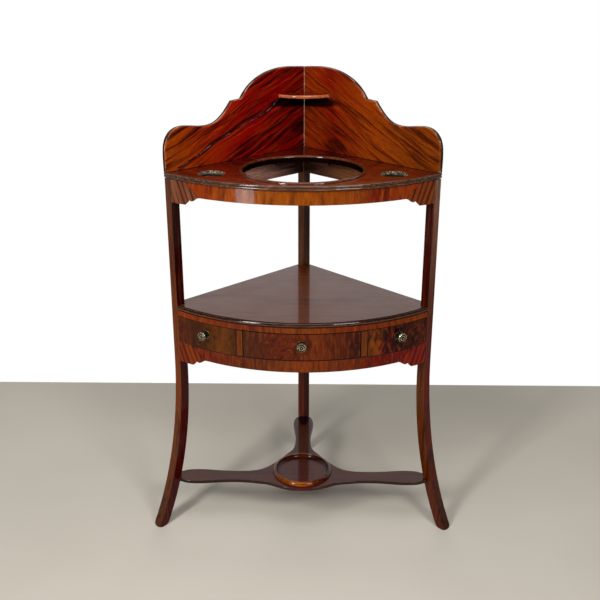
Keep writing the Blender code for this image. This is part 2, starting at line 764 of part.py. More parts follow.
def drawer(slide):
    half = DRAWER_HALF
    inner = BOW_RADIUS - FRONT_THICKNESS
    side_low = OPENING_BOTTOM + SEAM
    front_low = OPENING_BOTTOM + DRAWER_LIP
    height = OPENING_HEIGHT - 2 * DRAWER_LIP
    outline = bow_block(BOW_RADIUS, inner, -half, half)
    mesh = plate_mesh("drawer_front", [outline], height)
    offset = -slide.location
    front = piece("drawer_front", mesh, "veneer", slide, offset + Vector((0, 0, front_low)))
    drill(front, 0.0, slide, offset)

    back_y = -DRAWER_BACK_LINE
    butt = inner - SEAM
    for side, name in SIDE_NAME.items():
        corners = [
            (half - DRAWER_SIDE, bow_y(butt, half - DRAWER_SIDE)),
            (half, bow_y(butt, half)),
            (half, back_y),
            (half - DRAWER_SIDE, back_y),
        ]
        outline = [(side * x, y) for x, y in corners]
        mesh = plate_mesh("drawer_side_" + name, [outline], DRAWER_SIDE_HEIGHT)
        place = offset + Vector((0, 0, side_low))
        piece("drawer_side_" + name, mesh, "drawer_lining", slide, place)

    between = half - DRAWER_SIDE - SEAM
    bottom_low = side_low + BOTTOM_RISE
    corners = bow(butt, width_angle(butt, -between), width_angle(butt, between))
    outline = corners + [(between, back_y), (-between, back_y)]
    mesh = plate_mesh("drawer_bottom", [outline], BOTTOM_THICKNESS)
    piece("drawer_bottom", mesh, "drawer_lining", slide, offset + Vector((0, 0, bottom_low)))

    back_low = bottom_low + BOTTOM_THICKNESS + SEAM
    back_high = side_low + DRAWER_SIDE_HEIGHT - DRAWER_BACK_DROP
    low_corner = (-between, back_y - DRAWER_BACK_THICKNESS, 0)
    high_corner = (between, back_y, back_high - back_low)
    mesh = box_mesh("drawer_back", low_corner, high_corner)
    piece("drawer_back", mesh, "drawer_lining", slide, offset + Vector((0, 0, back_low)))


# Knobs


def knob_frame(angle, offset=Vector((0, 0, 0))):
    """Place and turn of a knob whose own +Z points out of the case front."""
    x = BOW_RADIUS * math.sin(angle)
    y = BOW_CENTRE - BOW_RADIUS * math.cos(angle)
    z = OPENING_BOTTOM + OPENING_HEIGHT / 2 + KNOB_RISE
    return offset + Vector((x, y, z)), (math.radians(90), 0, angle)


def drill(part, angle, parent, offset=Vector((0, 0, 0))):
    place, turn = knob_frame(angle, offset)
    depth = FRONT_THICKNESS + 2 * OVERRUN
    hole = bmesh.new()
    bmesh.ops.create_cone(
        hole,
        cap_ends=True,
        segments=KNOB_STEPS,
        radius1=SHANK_RADIUS + SHANK_CLEARANCE,
        radius2=SHANK_RADIUS + SHANK_CLEARANCE,
        depth=depth,
    )
    bmesh.ops.translate(hole, vec=(0, 0, OVERRUN - depth / 2), verts=hole.verts)
    mesh = bpy.data.meshes.new(part.name + "_hole")
    hole.to_mesh(mesh)
    hole.free()
    boolean(part, cutter(part.name + "_hole", mesh, parent, place, turn), "DIFFERENCE")


KNOB_SHARES = [
    (0.00, 1.00),
    (0.22, 1.00),
    (0.30, 0.90),
    (0.42, 0.90),
    (0.52, 0.99),
    (0.66, 0.97),
    (0.72, 0.88),
    (0.80, 0.88),
    (0.94, 0.83),
    (1.00, 0.71),
    (0.96, 0.60),
    (0.80, 0.52),
    (0.52, 0.46),
    (0.42, 0.34),
    (0.48, 0.20),
    (0.60, 0.11),
]  # share of the knob's radius, share of its stand-off


def knob(name, angle, parent, offset=Vector((0, 0, 0))):
    place, turn = knob_frame(angle, offset)
    plate_back = SEAM
    plate_front = plate_back + PLATE_THICKNESS
    foot = plate_front + SEAM
    profile = []
    for across, out in KNOB_SHARES:
        profile.append((across * KNOB_RADIUS, foot + (KNOB_STAND_OFF - foot) * out))
    collar = profile[-1][0]
    profile += [(collar, foot), (SHANK_RADIUS, foot)]
    shank_end = -FRONT_THICKNESS - SHANK_END
    profile += [(SHANK_RADIUS, shank_end), (0, shank_end)]
    turned("knob_" + name, profile, KNOB_STEPS, "brass", parent, place, turn)

    hole = SHANK_RADIUS + SHANK_CLEARANCE
    plate_middle = plate_back + PLATE_THICKNESS / 2
    plate = [(hole, plate_front), (PLATE_RADIUS - PLATE_THICKNESS, plate_front)]
    plate += [(PLATE_RADIUS, plate_middle), (PLATE_RADIUS, plate_back), (hole, plate_back)]
    turned("backplate_" + name, plate, KNOB_STEPS, "brass", parent, place, turn, closed=True)

    nut_front = -FRONT_THICKNESS - SEAM - NUT_SAG
    nut_back = nut_front - NUT_THICKNESS
    bore = hole / math.cos(math.pi / NUT_SIDES)
    nut = [(bore, nut_front), (NUT_RADIUS, nut_front), (NUT_RADIUS, nut_back), (bore, nut_back)]
    turned("knob_nut_" + name, nut, NUT_SIDES, "brass", parent, place, turn, closed=True)


# Stretcher


ARM_SHARES = [
    (0.000, 0.66),
    (0.045, 0.88),
    (0.100, 0.99),
    (0.165, 1.00),
    (0.245, 0.92),
    (0.315, 0.82),
    (0.390, 0.75),
    (0.500, 0.74),
    (0.580, 0.81),
    (0.645, 0.98),
]  # share of the arm from the leg to the dish's centre, share of its widest half width

# Where the arms flare into the platform, as shares of its radius across and towards the front
FLARE_SHARES = [(1.03, 0.66), (0.82, 0.79), (0.56, 0.915), (0.30, 0.98), (0.00, 1.00)]
BACK_FLARE_SHARES = (1.06, -0.20)
REAR_FLARE_SHARES = (0.455, -1.063)
SEAM_WIDTH_SHARE = 0.746  # half width of the joint with the rear arm


# The side arms meet the legs' inner arrises, and the dish's place follows from theirs
ARM_ARRIS = wall_point(1, leg_inner_face(STRETCHER_HEIGHT), LEG + swell(STRETCHER_HEIGHT))
ARM_BACK = -ARM_ARRIS[1] - ARM_SET_BACK
DISH_BACK = ARM_BACK - DISH_SET_BACK  # rear corner to the dish's centre


def arm_edge(length):
    """Half widths along an arm, by the distance from its leg."""
    return [(along * length, half * PADDLE_HALF) for along, half in ARM_SHARES]


def on_platform(shares):
    """Plan point from shares of the platform's radius."""
    across, forward = shares
    return (across * PLATFORM_RADIUS, -DISH_BACK - forward * PLATFORM_RADIUS)


def rear_seam():
    """Right end of the joint between the platform and the rear arm."""
    return (SEAM_WIDTH_SHARE * PLATFORM_RADIUS, REAR_SEAM_BACK - DISH_BACK)


def stretcher_cross(root, walls):
    """The two side arms and the platform, notched round the front legs' inner arrises."""
    arris_x = ARM_ARRIS[0]
    middle = -ARM_BACK
    edge = arm_edge(arris_x)
    tip = edge[0][1]
    seam_x, seam_y = rear_seam()

    back = [(seam_x, seam_y - SEAM, 0), (*on_platform(BACK_FLARE_SHARES), 1)]
    back += [(arris_x - along, middle + half, 1) for along, half in edge[::-1]]
    end = [(arris_x + ARM_WRAP, middle + tip, 0), (arris_x + ARM_WRAP, middle - tip, 0)]
    front = [(arris_x - along, middle - half, 1) for along, half in edge]
    front += [(*on_platform(shares), 1) for shares in FLARE_SHARES]
    right = back + end + front
    left = [(-x, y, bent) for x, y, bent in right[-2::-1]]
    mesh = plate_mesh("stretcher_cross", [right + left], STRETCHER_THICKNESS)
    low = STRETCHER_HEIGHT - STRETCHER_THICKNESS
    part = piece("stretcher_cross", mesh, "mahogany", root, (0, 0, low))
    for side, wall in walls.items():
        notch = cutter("leg_notch_" + SIDE_NAME[side], front_leg_mesh(side, SEAM), wall)
        boolean(part, notch, "DIFFERENCE")


def stretcher_rear_arm(root):
    arris_y = wall_point(1, LEG + SEAM, LEG + SEAM)[1]
    edge = arm_edge(DISH_BACK + arris_y)
    tip = edge[0][1]
    right = [(0, arris_y, 0), (ARM_WRAP, arris_y + ARM_WRAP, 0), (tip, arris_y, 0)]
    right += [(half, arris_y - along, 1) for along, half in edge[1:]]
    right += [(*on_platform(REAR_FLARE_SHARES), 1), (*rear_seam(), 0)]
    left = [(-x, y, bent) for x, y, bent in right[:0:-1]]
    mesh = plate_mesh("stretcher_rear_arm", [right + left], STRETCHER_THICKNESS)
    low = STRETCHER_HEIGHT - STRETCHER_THICKNESS
    piece("stretcher_rear_arm", mesh, "mahogany", root, (0, 0, low))


DISH_SHARES = [
    (0.62, 1.00),
    (0.30, 0.93),
    (0.10, 0.72),
    (0.02, 0.42),
    (0.00, 0.00),
    (1.00, 0.00),
    (0.96, 0.40),
    (0.84, 0.82),
]  # share of the ring's wall from the outside, share of its height


def stretcher_dish(root):
    profile = [(DISH_RADIUS - x * DISH_WALL, z * DISH_HEIGHT) for x, z in DISH_SHARES]
    place = (0, -DISH_BACK, STRETCHER_HEIGHT + SEAM)
    turned("stretcher_dish_ring", profile, RING_STEPS, "mahogany", root, place, closed=True)


def build():
    # The part's origin is under the middle of its box; the rear corner lies half its depth back
    root = carrier("washstand", (0, DEPTH / 2, 0))
    walls = {}
    for side, name in SIDE_NAME.items():
        walls[side] = carrier("wall_" + name, turn=math.radians(45 * side - 90), parent=root)
        front_leg(side, walls[side])
    rear_leg(root)
    top_board(root)
    top_moulding(root)
    basin_bead(root)
    for side, wall in walls.items():
        gallery_board(side, wall)
    corner_shelf(root)
    top_framing(root, walls)
    shelf_board(root)
    shelf_bead(root)
    case_rails(root)
    front_blocks(root)
    case_sides(walls)
    drawer_linings(root)
    slide = carrier("drawer_slide", (0, -BOW_DEPTH, OPENING_BOTTOM), parent=root)
    drawer(slide)
    knob("centre", 0.0, slide, -slide.location)
    for side, name in SIDE_NAME.items():
        knob(name, side * SIDE_KNOB_ANGLE, root)
    stretcher_cross(root, walls)
    stretcher_rear_arm(root)
    stretcher_dish(root)


empty_scene()
PIECES = collection("Corner washstand")
CUTTERS = collection("Cutters")
build()
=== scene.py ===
import json
import math

import bpy
from mathutils import Matrix, Vector

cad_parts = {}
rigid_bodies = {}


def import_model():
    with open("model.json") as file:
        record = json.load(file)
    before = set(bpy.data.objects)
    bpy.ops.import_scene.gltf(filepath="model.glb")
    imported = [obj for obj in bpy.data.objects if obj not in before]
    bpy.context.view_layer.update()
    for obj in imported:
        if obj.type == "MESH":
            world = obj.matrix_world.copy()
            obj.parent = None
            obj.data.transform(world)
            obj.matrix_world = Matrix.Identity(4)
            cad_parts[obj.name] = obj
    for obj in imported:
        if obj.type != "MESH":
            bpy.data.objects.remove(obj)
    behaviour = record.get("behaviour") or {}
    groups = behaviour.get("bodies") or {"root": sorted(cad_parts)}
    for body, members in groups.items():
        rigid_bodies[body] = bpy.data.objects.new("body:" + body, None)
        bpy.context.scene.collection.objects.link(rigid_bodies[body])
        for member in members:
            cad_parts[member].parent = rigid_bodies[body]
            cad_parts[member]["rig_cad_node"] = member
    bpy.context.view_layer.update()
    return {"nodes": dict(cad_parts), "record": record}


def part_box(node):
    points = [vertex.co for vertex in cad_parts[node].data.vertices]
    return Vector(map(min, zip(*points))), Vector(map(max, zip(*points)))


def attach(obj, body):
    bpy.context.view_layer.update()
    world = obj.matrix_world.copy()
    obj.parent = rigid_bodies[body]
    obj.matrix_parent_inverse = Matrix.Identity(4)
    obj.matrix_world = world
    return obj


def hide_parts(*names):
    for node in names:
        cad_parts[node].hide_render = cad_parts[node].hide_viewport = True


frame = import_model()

UP = Vector((0, 0, 1))
RIGHT = Vector((1, 0, 0))
FRONT = Vector((0, -1, 0))
LEFT_WALL = Vector((-1, -1, 0)).normalized()
RIGHT_WALL = Vector((1, -1, 0)).normalized()
# For each side: which way its boards run from the corner, and which way they face
SIDES = {"left": (LEFT_WALL, RIGHT_WALL), "right": (RIGHT_WALL, LEFT_WALL)}

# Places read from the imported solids
REAR_CORNER = Vector((0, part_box("top_board")[1].y, 0))
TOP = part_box("top_board")[1].z
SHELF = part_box("shelf_board")[1].z
TOP_RADIUS = REAR_CORNER.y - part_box("top_edge_moulding")[0].y
BASIN = (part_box("basin_bead")[0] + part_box("basin_bead")[1]) / 2
DISH = (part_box("stretcher_dish_ring")[0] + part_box("stretcher_dish_ring")[1]) / 2
ARM_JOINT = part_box("stretcher_rear_arm")[0].y
CORNER = REAR_CORNER + UP * TOP
BOARD_FACE = max((vertex.co - REAR_CORNER).dot(RIGHT_WALL)
                 for vertex in frame["nodes"]["gallery_left"].data.vertices if vertex.co.z > TOP)
BOW_CENTRE = REAR_CORNER - FRONT * 0.02665  # of the arc that the fronts follow

# Patterns in the wood, in metres: how long along the grain, and how wide
DRIFT = (0.16, 0.05)
SWIRL = (0.020, 0.020)
WORN_POLISH = (0.06, 0.06)
GROWTH_RINGS = (0.18, 0.006)
# Some four times as wide as the real ones, so that they show
GRAIN_LINES = (0.07, 0.002)
PORES = (0.014, 0.001)

# How far the streaks push the borders of the ground colours to and fro, as a share of them all
BROKEN_UP = 0.3
PORE_DEPTH = 0.0002
ROUGH_DEPTH = 0.0003
# The colour of painted shade
SHADE_BLACK = "#0c0204"
CUP_FOOT_SHADE = "#060202"

# The sockets of a Mix node that mixes colours: they share their names with its other sockets
SHARE, UNDER, OVER, MIXED = 0, 6, 7, 2

# Points this near are one point, on a solid's copy and on a turned piece
MERGED = 0.00001
MERGED_TURNED = 0.00002
SAME_PLACE = 0.000001
# A corner flatter than FLAT is a loose cut in one face, and a sharper one than ARRIS is an arris
FLAT = math.radians(0.4)
ARRIS = math.radians(35)
ARRIS_TURNED = math.radians(40)
# A face stands upright if its normal has less than this of the vertical
UPRIGHT = 0.8


# Colours and nodes


def linear(colour):
    """An sRGB hex colour as the linear colour that Blender works in."""
    parts = [int(colour[i:i + 2], 16) / 255 for i in (1, 3, 5)]
    curved = [p / 12.92 if p <= 0.04045 else ((p + 0.055) / 1.055) ** 2.4 for p in parts]
    return (*curved, 1.0)


def add(tree, kind, inputs=None, stops=None, **settings):
    """Adds a node. An input takes a value or another node's output; stops fill a colour ramp."""
    made = tree.nodes.new(kind)
    for name, value in settings.items():
        setattr(made, name, value)
    for name, value in (inputs or {}).items():
        if isinstance(value, bpy.types.NodeSocket):
            tree.links.new(value, made.inputs[name])
        else:
            made.inputs[name].default_value = value
    if stops:
        marks = made.color_ramp.elements
        while len(marks) < len(stops):
            marks.new(1.0)
        for mark, (place, colour) in zip(marks, stops):
            mark.position = place
            mark.color = linear(colour)
    return made


def material(name, values):
    """A new material with these values on its shader, its node tree, and the shader."""
    made = bpy.data.materials.new(name)
    made.use_nodes = True
    shader = made.node_tree.nodes["Principled BSDF"]
    for socket, value in values.items():
        shader.inputs[socket].default_value = value
    return made, made.node_tree, shader


def pattern(tree, spot, patch, detail, roughness=0.5, shift=(0, 0, 0), turn=(0, 0, 0), **settings):
    """Irregular patches of a real length and width in metres."""
    length, width = patch
    place = add(tree, "ShaderNodeMapping", {"Vector": spot, "Location": shift, "Rotation": turn,
                "Scale": (length, width, width)}, vector_type="TEXTURE").outputs["Vector"]
    return add(tree, "ShaderNodeTexNoise", {"Vector": place, "Scale": 1.0, "Detail": detail,
               "Roughness": roughness}, **settings).outputs


def surface(tree, shader, colour, height, strength, depth):
    """Ends a finish with its colour and with a relief that follows a pattern."""
    tree.links.new(colour, shader.inputs["Base Color"])
    relief = add(tree, "ShaderNodeBump", {"Height": height, "Strength": strength,
                 "Distance": depth}).outputs["Normal"]
    tree.links.new(relief, shader.inputs["Normal"])


def turned_to(along, out):
    """Angles that turn X along one direction and Z as near as can be to another."""
    x = Vector(along).normalized()
    y = Vector(out).cross(x).normalized()
    return Matrix((x, y, x.cross(y))).transposed().to_euler()


# French polished mahogany: reddish brown with darker and paler streaks along the grain, short
# dark pores, and a thin clear polish that gives soft but distinct reflections
def french_polish(name, grain, face, ground, dark, pale, streak, wave, polish, dark_share=0.6,
                  pale_share=0.3, edge=(0.5, 0.38), gloss=0.07, mark=None, fine=1.0, even=False,
                  grime=()):
    """ground is two points and the colours that follow each other between them. streak is the
    length and width of the streaks, wave how far they drift, and edge where the dark ones start
    and end in the noise. The shares are how far dark and pale streaks cover the ground. polish
    is the weight of the clear coat, and gloss its roughness. mark is a place, a radius and a
    strength, where the grain swirls round a knot. fine is how far the grain lines and pores
    show. even makes evenly spaced stripes of the streaks. The last argument is a row of places
    darkened with painted shade, each its middle, its reach in X, Y and Z, its strength, and the
    share of the reach that has all of it."""
    made, tree, shader = material(name, {"Specular IOR Level": 0.05, "Coat Weight": polish,
                                         "Coat Roughness": gloss})
    start, end, colours = ground
    spot = add(tree, "ShaderNodeTexCoord").outputs["Object"]
    along = add(tree, "ShaderNodeMapping", {"Vector": spot, "Location": REAR_CORNER,
                "Rotation": turned_to(grain, face)}, vector_type="TEXTURE").outputs["Vector"]

    # Grain never runs dead straight: it drifts by some millimetres
    drift = pattern(tree, along, DRIFT, 2.0, normalize=False)["Color"]
    figure = add(tree, "ShaderNodeVectorMath", {0: drift, 1: (0, wave, wave / 2), 2: along},
                 operation="MULTIPLY_ADD").outputs["Vector"]
    if mark:
        centre, radius, strength = mark
        away = add(tree, "ShaderNodeVectorMath", {0: spot, 1: centre},
                   operation="DISTANCE").outputs["Value"]
        near = add(tree, "ShaderNodeMapRange", {"Value": away, "From Min": radius,
                   "From Max": 0.0}, interpolation_type="SMOOTHSTEP").outputs["Result"]
        swirl = pattern(tree, spot, SWIRL, 1.0, normalize=False)["Color"]
        bent = add(tree, "ShaderNodeVectorMath", {0: swirl, "Scale": near},
                   operation="SCALE").outputs["Vector"]
        figure = add(tree, "ShaderNodeVectorMath", {0: bent, 1: (strength,) * 3, 2: figure},
                     operation="MULTIPLY_ADD").outputs["Vector"]

    length, width = streak
    if even:
        broad = add(tree, "ShaderNodeMapping", {"Vector": figure, "Scale": (length, width, width)},
                    vector_type="TEXTURE").outputs["Vector"]
        streaks = add(tree, "ShaderNodeTexWave", {"Vector": broad, "Scale": 1.0, "Distortion": 1.6,
                      "Detail": 1.0, "Detail Scale": 2.5}, bands_direction="Y").outputs["Fac"]
    else:
        streaks = pattern(tree, figure, streak, 3.0, 0.55)["Fac"]
    # The pale streaks are half the size, and lie elsewhere
    lights = pattern(tree, figure, (length / 2, width / 2), 2.0, 0.55, (0.3, 0.3, 0.3))["Fac"]

    # The ground colours, their borders broken up by the streaks
    span = Vector(end) - Vector(start)
    line = add(tree, "ShaderNodeMapping", {"Vector": spot, "Location": start,
               "Rotation": turned_to(span, face), "Scale": (span.length,) * 3},
               vector_type="TEXTURE").outputs["Vector"]
    share = add(tree, "ShaderNodeSeparateXYZ", {"Vector": line}).outputs["X"]
    loose = add(tree, "ShaderNodeMath", {0: streaks, 1: BROKEN_UP, 2: share},
                operation="MULTIPLY_ADD").outputs["Value"]
    level = add(tree, "ShaderNodeMath", {0: loose, 1: BROKEN_UP / 2},
                operation="SUBTRACT").outputs["Value"]
    base = add(tree, "ShaderNodeValToRGB", {"Fac": level}, colours).outputs["Color"]

    shade = add(tree, "ShaderNodeMapRange", {"Value": streaks, "From Min": edge[0],
                "From Max": edge[1], "To Max": dark_share}).outputs["Result"]
    deep = add(tree, "ShaderNodeMix", {SHARE: shade, UNDER: base, OVER: linear(dark)},
               data_type="RGBA").outputs[MIXED]
    shine = add(tree, "ShaderNodeMapRange", {"Value": lights, "From Min": 0.50, "From Max": 0.70,
                "To Max": pale_share}).outputs["Result"]
    colour = add(tree, "ShaderNodeMix", {SHARE: shine, UNDER: deep, OVER: linear(pale)},
                 data_type="RGBA").outputs[MIXED]

    lines = pattern(tree, figure, GRAIN_LINES, 2.0)["Fac"]
    pores = pattern(tree, figure, PORES, 1.0)["Fac"]
    for depth, stops in ((lines, [(0.30, "#cdbfb8"), (0.60, "#ffffff")]),
                         (pores, [(0.30, "#b0a09a"), (0.42, "#ffffff")])):
        drawn = add(tree, "ShaderNodeValToRGB", {"Fac": depth}, stops).outputs["Color"]
        colour = add(tree, "ShaderNodeMix", {SHARE: fine, UNDER: colour, OVER: drawn},
                     data_type="RGBA", blend_type="MULTIPLY").outputs[MIXED]
    # Painted shade: the colour darkens towards the middle of each of these places
    for middle, reach, blackness, core in grime:
        around = add(tree, "ShaderNodeMapping", {"Vector": spot, "Location": middle,
                     "Scale": reach}, vector_type="TEXTURE").outputs["Vector"]
        outwards = add(tree, "ShaderNodeVectorMath", {0: around},
                       operation="LENGTH").outputs["Value"]
        shade_patch = add(tree, "ShaderNodeMapRange", {"Value": outwards, "From Min": 1.0,
                   "From Max": core, "To Max": blackness},
                   interpolation_type="SMOOTHSTEP").outputs["Result"]
        colour = add(tree, "ShaderNodeMix", {SHARE: shade_patch, UNDER: colour, OVER: linear(SHADE_BLACK)},
                     data_type="RGBA").outputs[MIXED]
    surface(tree, shader, colour, pores, 0.10, PORE_DEPTH)

    # Polish wears unevenly, so the gloss varies from place to place
    worn = pattern(tree, spot, WORN_POLISH, 3.0)["Fac"]
    dull = add(tree, "ShaderNodeMapRange", {"Value": worn, "From Min": 0.3, "From Max": 0.7,
               "To Min": 0.30, "To Max": 0.45}).outputs["Result"]
    tree.links.new(dull, shader.inputs["Roughness"])
    return made


# Small worn, dirty or bare places, and painted shade: a dull surface blotched between two or three
# colours
def blotched(name, blotch, colours, roughness, coat=0.0, metallic=0.0, below=None, specular=0.15):
    """blotch is the size of the blotches in metres. The optional two heights give painted shade:
    black under the lower and clear over the upper."""
    made, tree, shader = material(name, {"Roughness": roughness, "Specular IOR Level": specular,
                                         "Coat Weight": coat, "Metallic": metallic})
    spot = add(tree, "ShaderNodeTexCoord").outputs["Object"]
    patches = pattern(tree, spot, (blotch, blotch), 3.0)["Fac"]
    # The noise keeps close to its middle, so the colours lie between 0.38 and 0.62 of it
    stops = [(0.38 + 0.24 * i / (len(colours) - 1), colour) for i, colour in enumerate(colours)]
    colour = add(tree, "ShaderNodeValToRGB", {"Fac": patches}, stops).outputs["Color"]
    if below:
        height = add(tree, "ShaderNodeSeparateXYZ", {"Vector": spot}).outputs["Z"]
        clear = add(tree, "ShaderNodeMapRange", {"Value": height, "From Min": below[0],
                    "From Max": below[1]}).outputs["Result"]
        colour = add(tree, "ShaderNodeMix", {SHARE: clear, UNDER: linear(CUP_FOOT_SHADE),
                     OVER: colour}, data_type="RGBA").outputs[MIXED]
    surface(tree, shader, colour, patches, 0.2, ROUGH_DEPTH)
    return made


# Bare pine and oak linings: yellow-brown or stained, open grain, dull, never polished
def bare_lining(name, grain, face, pale, dark):
    made, tree, shader = material(name, {"Roughness": 0.7, "Specular IOR Level": 0.3})
    spot = add(tree, "ShaderNodeTexCoord").outputs["Object"]
    rings = pattern(tree, spot, GROWTH_RINGS, 4.0, turn=turned_to(grain, face))["Fac"]
    colour = add(tree, "ShaderNodeValToRGB", {"Fac": rings},
                 [(0.35, dark), (0.65, pale)]).outputs["Color"]
    surface(tree, shader, colour, rings, 0.3, ROUGH_DEPTH)
    return made


# Modelling


def alone(*chosen):
    """Selects these objects and nothing else; the last is the active one."""
    bpy.ops.object.select_all(action="DESELECT")
    for one in chosen:
        one.select_set(True)
    bpy.context.view_layer.objects.active = chosen[-1]


def choose(piece, test, kind="EDGE"):
    """Opens a piece for editing with only those edges or points selected that pass a test."""
    alone(piece)
    bpy.ops.object.mode_set(mode="EDIT")
    bpy.ops.mesh.select_mode(type=kind)
    bpy.ops.mesh.select_all(action="DESELECT")
    bpy.ops.object.mode_set(mode="OBJECT")
    points = piece.data.vertices
    if kind == "VERT":
        for point in points:
            point.select = test(point.co)
    else:
        for edge in piece.data.edges:
            edge.select = test(*[points[i].co for i in edge.vertices])
    bpy.ops.object.mode_set(mode="EDIT")


def finished_in(piece, looks):
    """Takes a piece's finishes off it and gives it these."""
    piece.data.materials.clear()
    for look in looks:
        piece.data.materials.append(look)


def settle(piece, node):
    """Gives a piece its body, and puts it in a solid's place."""
    record = frame["record"]
    bodies = record["behaviour"]["bodies"]
    body = next(name for name, members in bodies.items() if node in members)
    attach(piece, body)
    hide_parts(node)


def worked(node, looks, width, segments=2, shape=None, paint=None):
    """A solid's own copy with its loose faces merged and its arrises eased. The second of looks
    is for the arrises. shape changes the copy first, and paint gives a face another of looks."""
    alone(frame["nodes"][node])
    bpy.ops.object.duplicate()
    piece = bpy.context.object
    piece.name = node + "_worked"
    piece.parent = None
    del piece["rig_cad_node"]
    finished_in(piece, looks)
    bpy.ops.object.mode_set(mode="EDIT")
    bpy.ops.mesh.select_all(action="SELECT")
    bpy.ops.mesh.remove_doubles(threshold=MERGED)
    bpy.ops.mesh.dissolve_limited(angle_limit=FLAT)
    bpy.ops.object.mode_set(mode="OBJECT")
    if shape:
        shape(piece)
        bpy.ops.object.mode_set(mode="OBJECT")
    eased = piece.modifiers.new("arris", "BEVEL")
    eased.width = width
    eased.segments = segments
    eased.limit_method = "ANGLE"
    eased.angle_limit = ARRIS
    eased.material = 1 if len(looks) > 1 else -1
    bpy.ops.object.modifier_apply(modifier="arris")
    bpy.ops.object.shade_smooth_by_angle(angle=ARRIS)
    level = piece.modifiers.new("flat_faces", "WEIGHTED_NORMAL")
    level.keep_sharp = True
    bpy.ops.object.modifier_apply(modifier="flat_faces")
    for face in piece.data.polygons:
        look = paint(face.center, face.normal) if paint else None
        if look is not None:
            face.material_index = looks.index(look)
    settle(piece, node)


def drawn_out(name, points):
    """A new piece, still open for editing: one point drawn out into a line through the others."""
    bpy.ops.object.select_all(action="DESELECT")
    bpy.ops.mesh.primitive_plane_add(size=0.001, location=points[0])
    piece = bpy.context.object
    piece.name = name
    bpy.ops.object.transform_apply(location=True, rotation=True, scale=True)
    bpy.ops.object.mode_set(mode="EDIT")
    bpy.ops.mesh.select_mode(type="VERT")
    bpy.ops.mesh.select_all(action="SELECT")
    bpy.ops.mesh.merge(type="CENTER")
    for here, there in zip(points, points[1:]):
        bpy.ops.mesh.extrude_vertices_move(TRANSFORM_OT_translate={"value": there - here})
    return piece


def completed(piece, looks, arris):
    """Turns a new piece's faces outwards, smooths it and gives it its finishes."""
    bpy.ops.mesh.select_all(action="SELECT")
    bpy.ops.mesh.normals_make_consistent(inside=False)
    bpy.ops.object.mode_set(mode="OBJECT")
    bpy.ops.object.shade_smooth_by_angle(angle=arris)
    finished_in(piece, looks)
    return piece


def spun(name, profile, centre, axis, steps, looks, start=None, sweep=math.tau, closed=False):
    """A turned piece: a profile of (radius, height) points, drawn out and spun on its axis."""
    side = start or axis.orthogonal().normalized()
    points = [centre + side * radius + axis * height for radius, height in profile]
    piece = drawn_out(name, points)
    if closed:
        bpy.ops.object.mode_set(mode="OBJECT")
        ends = (points[0], points[-1])
        choose(piece, lambda point: min((point - end).length for end in ends) < SAME_PLACE, "VERT")
        bpy.ops.mesh.edge_face_add()
    bpy.ops.mesh.select_all(action="SELECT")
    bpy.ops.mesh.spin(steps=steps, angle=sweep, center=centre, axis=axis)
    bpy.ops.mesh.select_all(action="SELECT")
    bpy.ops.mesh.remove_doubles(threshold=MERGED_TURNED)
    if sweep < math.tau:
        bpy.ops.mesh.fill_holes(sides=0)
    return completed(piece, looks, ARRIS_TURNED)


# Small finishes

# Polish rubbed off the arrises, down to paler wood here and there. On the rounded front arris of
# the gallery boards it is also a painted highlight.
worn_and_highlit_rim = blotched("worn_and_highlit_rim", 0.030, ["#2c1206", "#6c4020", "#b08c64"], 0.35, 0.3)
# Joints and hollows packed with old wax and dust: nearly black, dull. On the arrises of the
# fronts, shelf and brackets it is also painted shade, the dark gaps between the parts.
wax_and_shade_in_joints = blotched("wax_and_shade_in_joints", 0.010, ["#080302", "#140604"], 0.6)
# Squeezed-out glue in the corner: pale yellow-grey, reddened by wax in places
glue_line = blotched("glue_line", 0.012, ["#6a3c28", "#c4b094"], 0.4)
# End grain has drunk the stain: very dark brown, with hardly any polish on it. On the gallery's
# edge faces and in its joints with the top board it is also painted shade.
end_grain_and_shade = blotched("board_edge_end_grain_and_shade", 0.015, ["#160703", "#381408"], 0.5, 0.1)
# Painted shade, black and without any shine: the basin hole's wall and the depth of the crack
painted_black_shade = blotched("basin_wall_painted_shade", 0.006, ["#040101", "#120504"], 1.0,
                          specular=0.0)
# Bare speckled wood, and near the foot of a cup hole's wall painted shade that turns it black
bare_cup_wall = blotched("bare_cup_wall", 0.0028, ["#0e0a06", "#544a3a", "#9c9078"], 0.6,
                         below=(TOP - 0.0095, TOP - 0.0060))
# Fibres standing up along the crack: pale pinkish grey where they catch the light
torn_fibre = blotched("torn_fibre", 0.012, ["#2c0c0c", "#6a5058", "#a89494"], 0.4, 0.3)


# The gallery. The grain of both boards rises towards the corner; the left one is a deep red
# board, the right one a browner board that reddens near the corner.

GLUE_END = 0.010  # the glue line in the corner ends this far above the top board
# Faces this near the corner line or the top board lie in the joint
MITRE_REACH = 0.0012
JOINT_REACH = 0.0016
# What a face's normal has of the board's own: more than this is square on to it, less than
# RIM_END is the end grain, painted dark also as shade, and from there to RIM_START the worn rim,
# painted pale also as a highlight
SQUARE_ON = 0.98
RIM_START, RIM_END = 0.70, 0.35
# The outline's front arris lies in the face to this tolerance, and is this far clear of the
# corner line and of the top board
IN_FACE = 0.0002
CLEAR_OF_MITRE, CLEAR_OF_TOP = 0.0015, 0.0020

# Painted shadow: both boards are darkened right under the corner shelf, where its shadow falls
shelf_shadow = (Vector((0.002, REAR_CORNER.y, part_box("corner_shelf")[0].z - 0.012)),
               (0.122, 0.160, 0.019), 0.97, 0.75)


def gallery_look(name, rise, colours, dark, pale, shade_patch, **shares):
    """The grain rises by this many degrees, and the ground colours lie from the corner out. Each
    board is darkened as painted shade under the corner shelf and at one more place.
    """
    wall, face = SIDES[name]
    grain = UP * math.sin(math.radians(rise)) - wall * math.cos(math.radians(rise))
    return french_polish(
        "mahogany_gallery_" + name, grain, face, (CORNER, CORNER + wall * TOP_RADIUS, colours),
        dark, pale, streak=(0.23, 0.011), wave=0.009, polish=0.15, grime=(shelf_shadow, shade_patch),
        **shares)


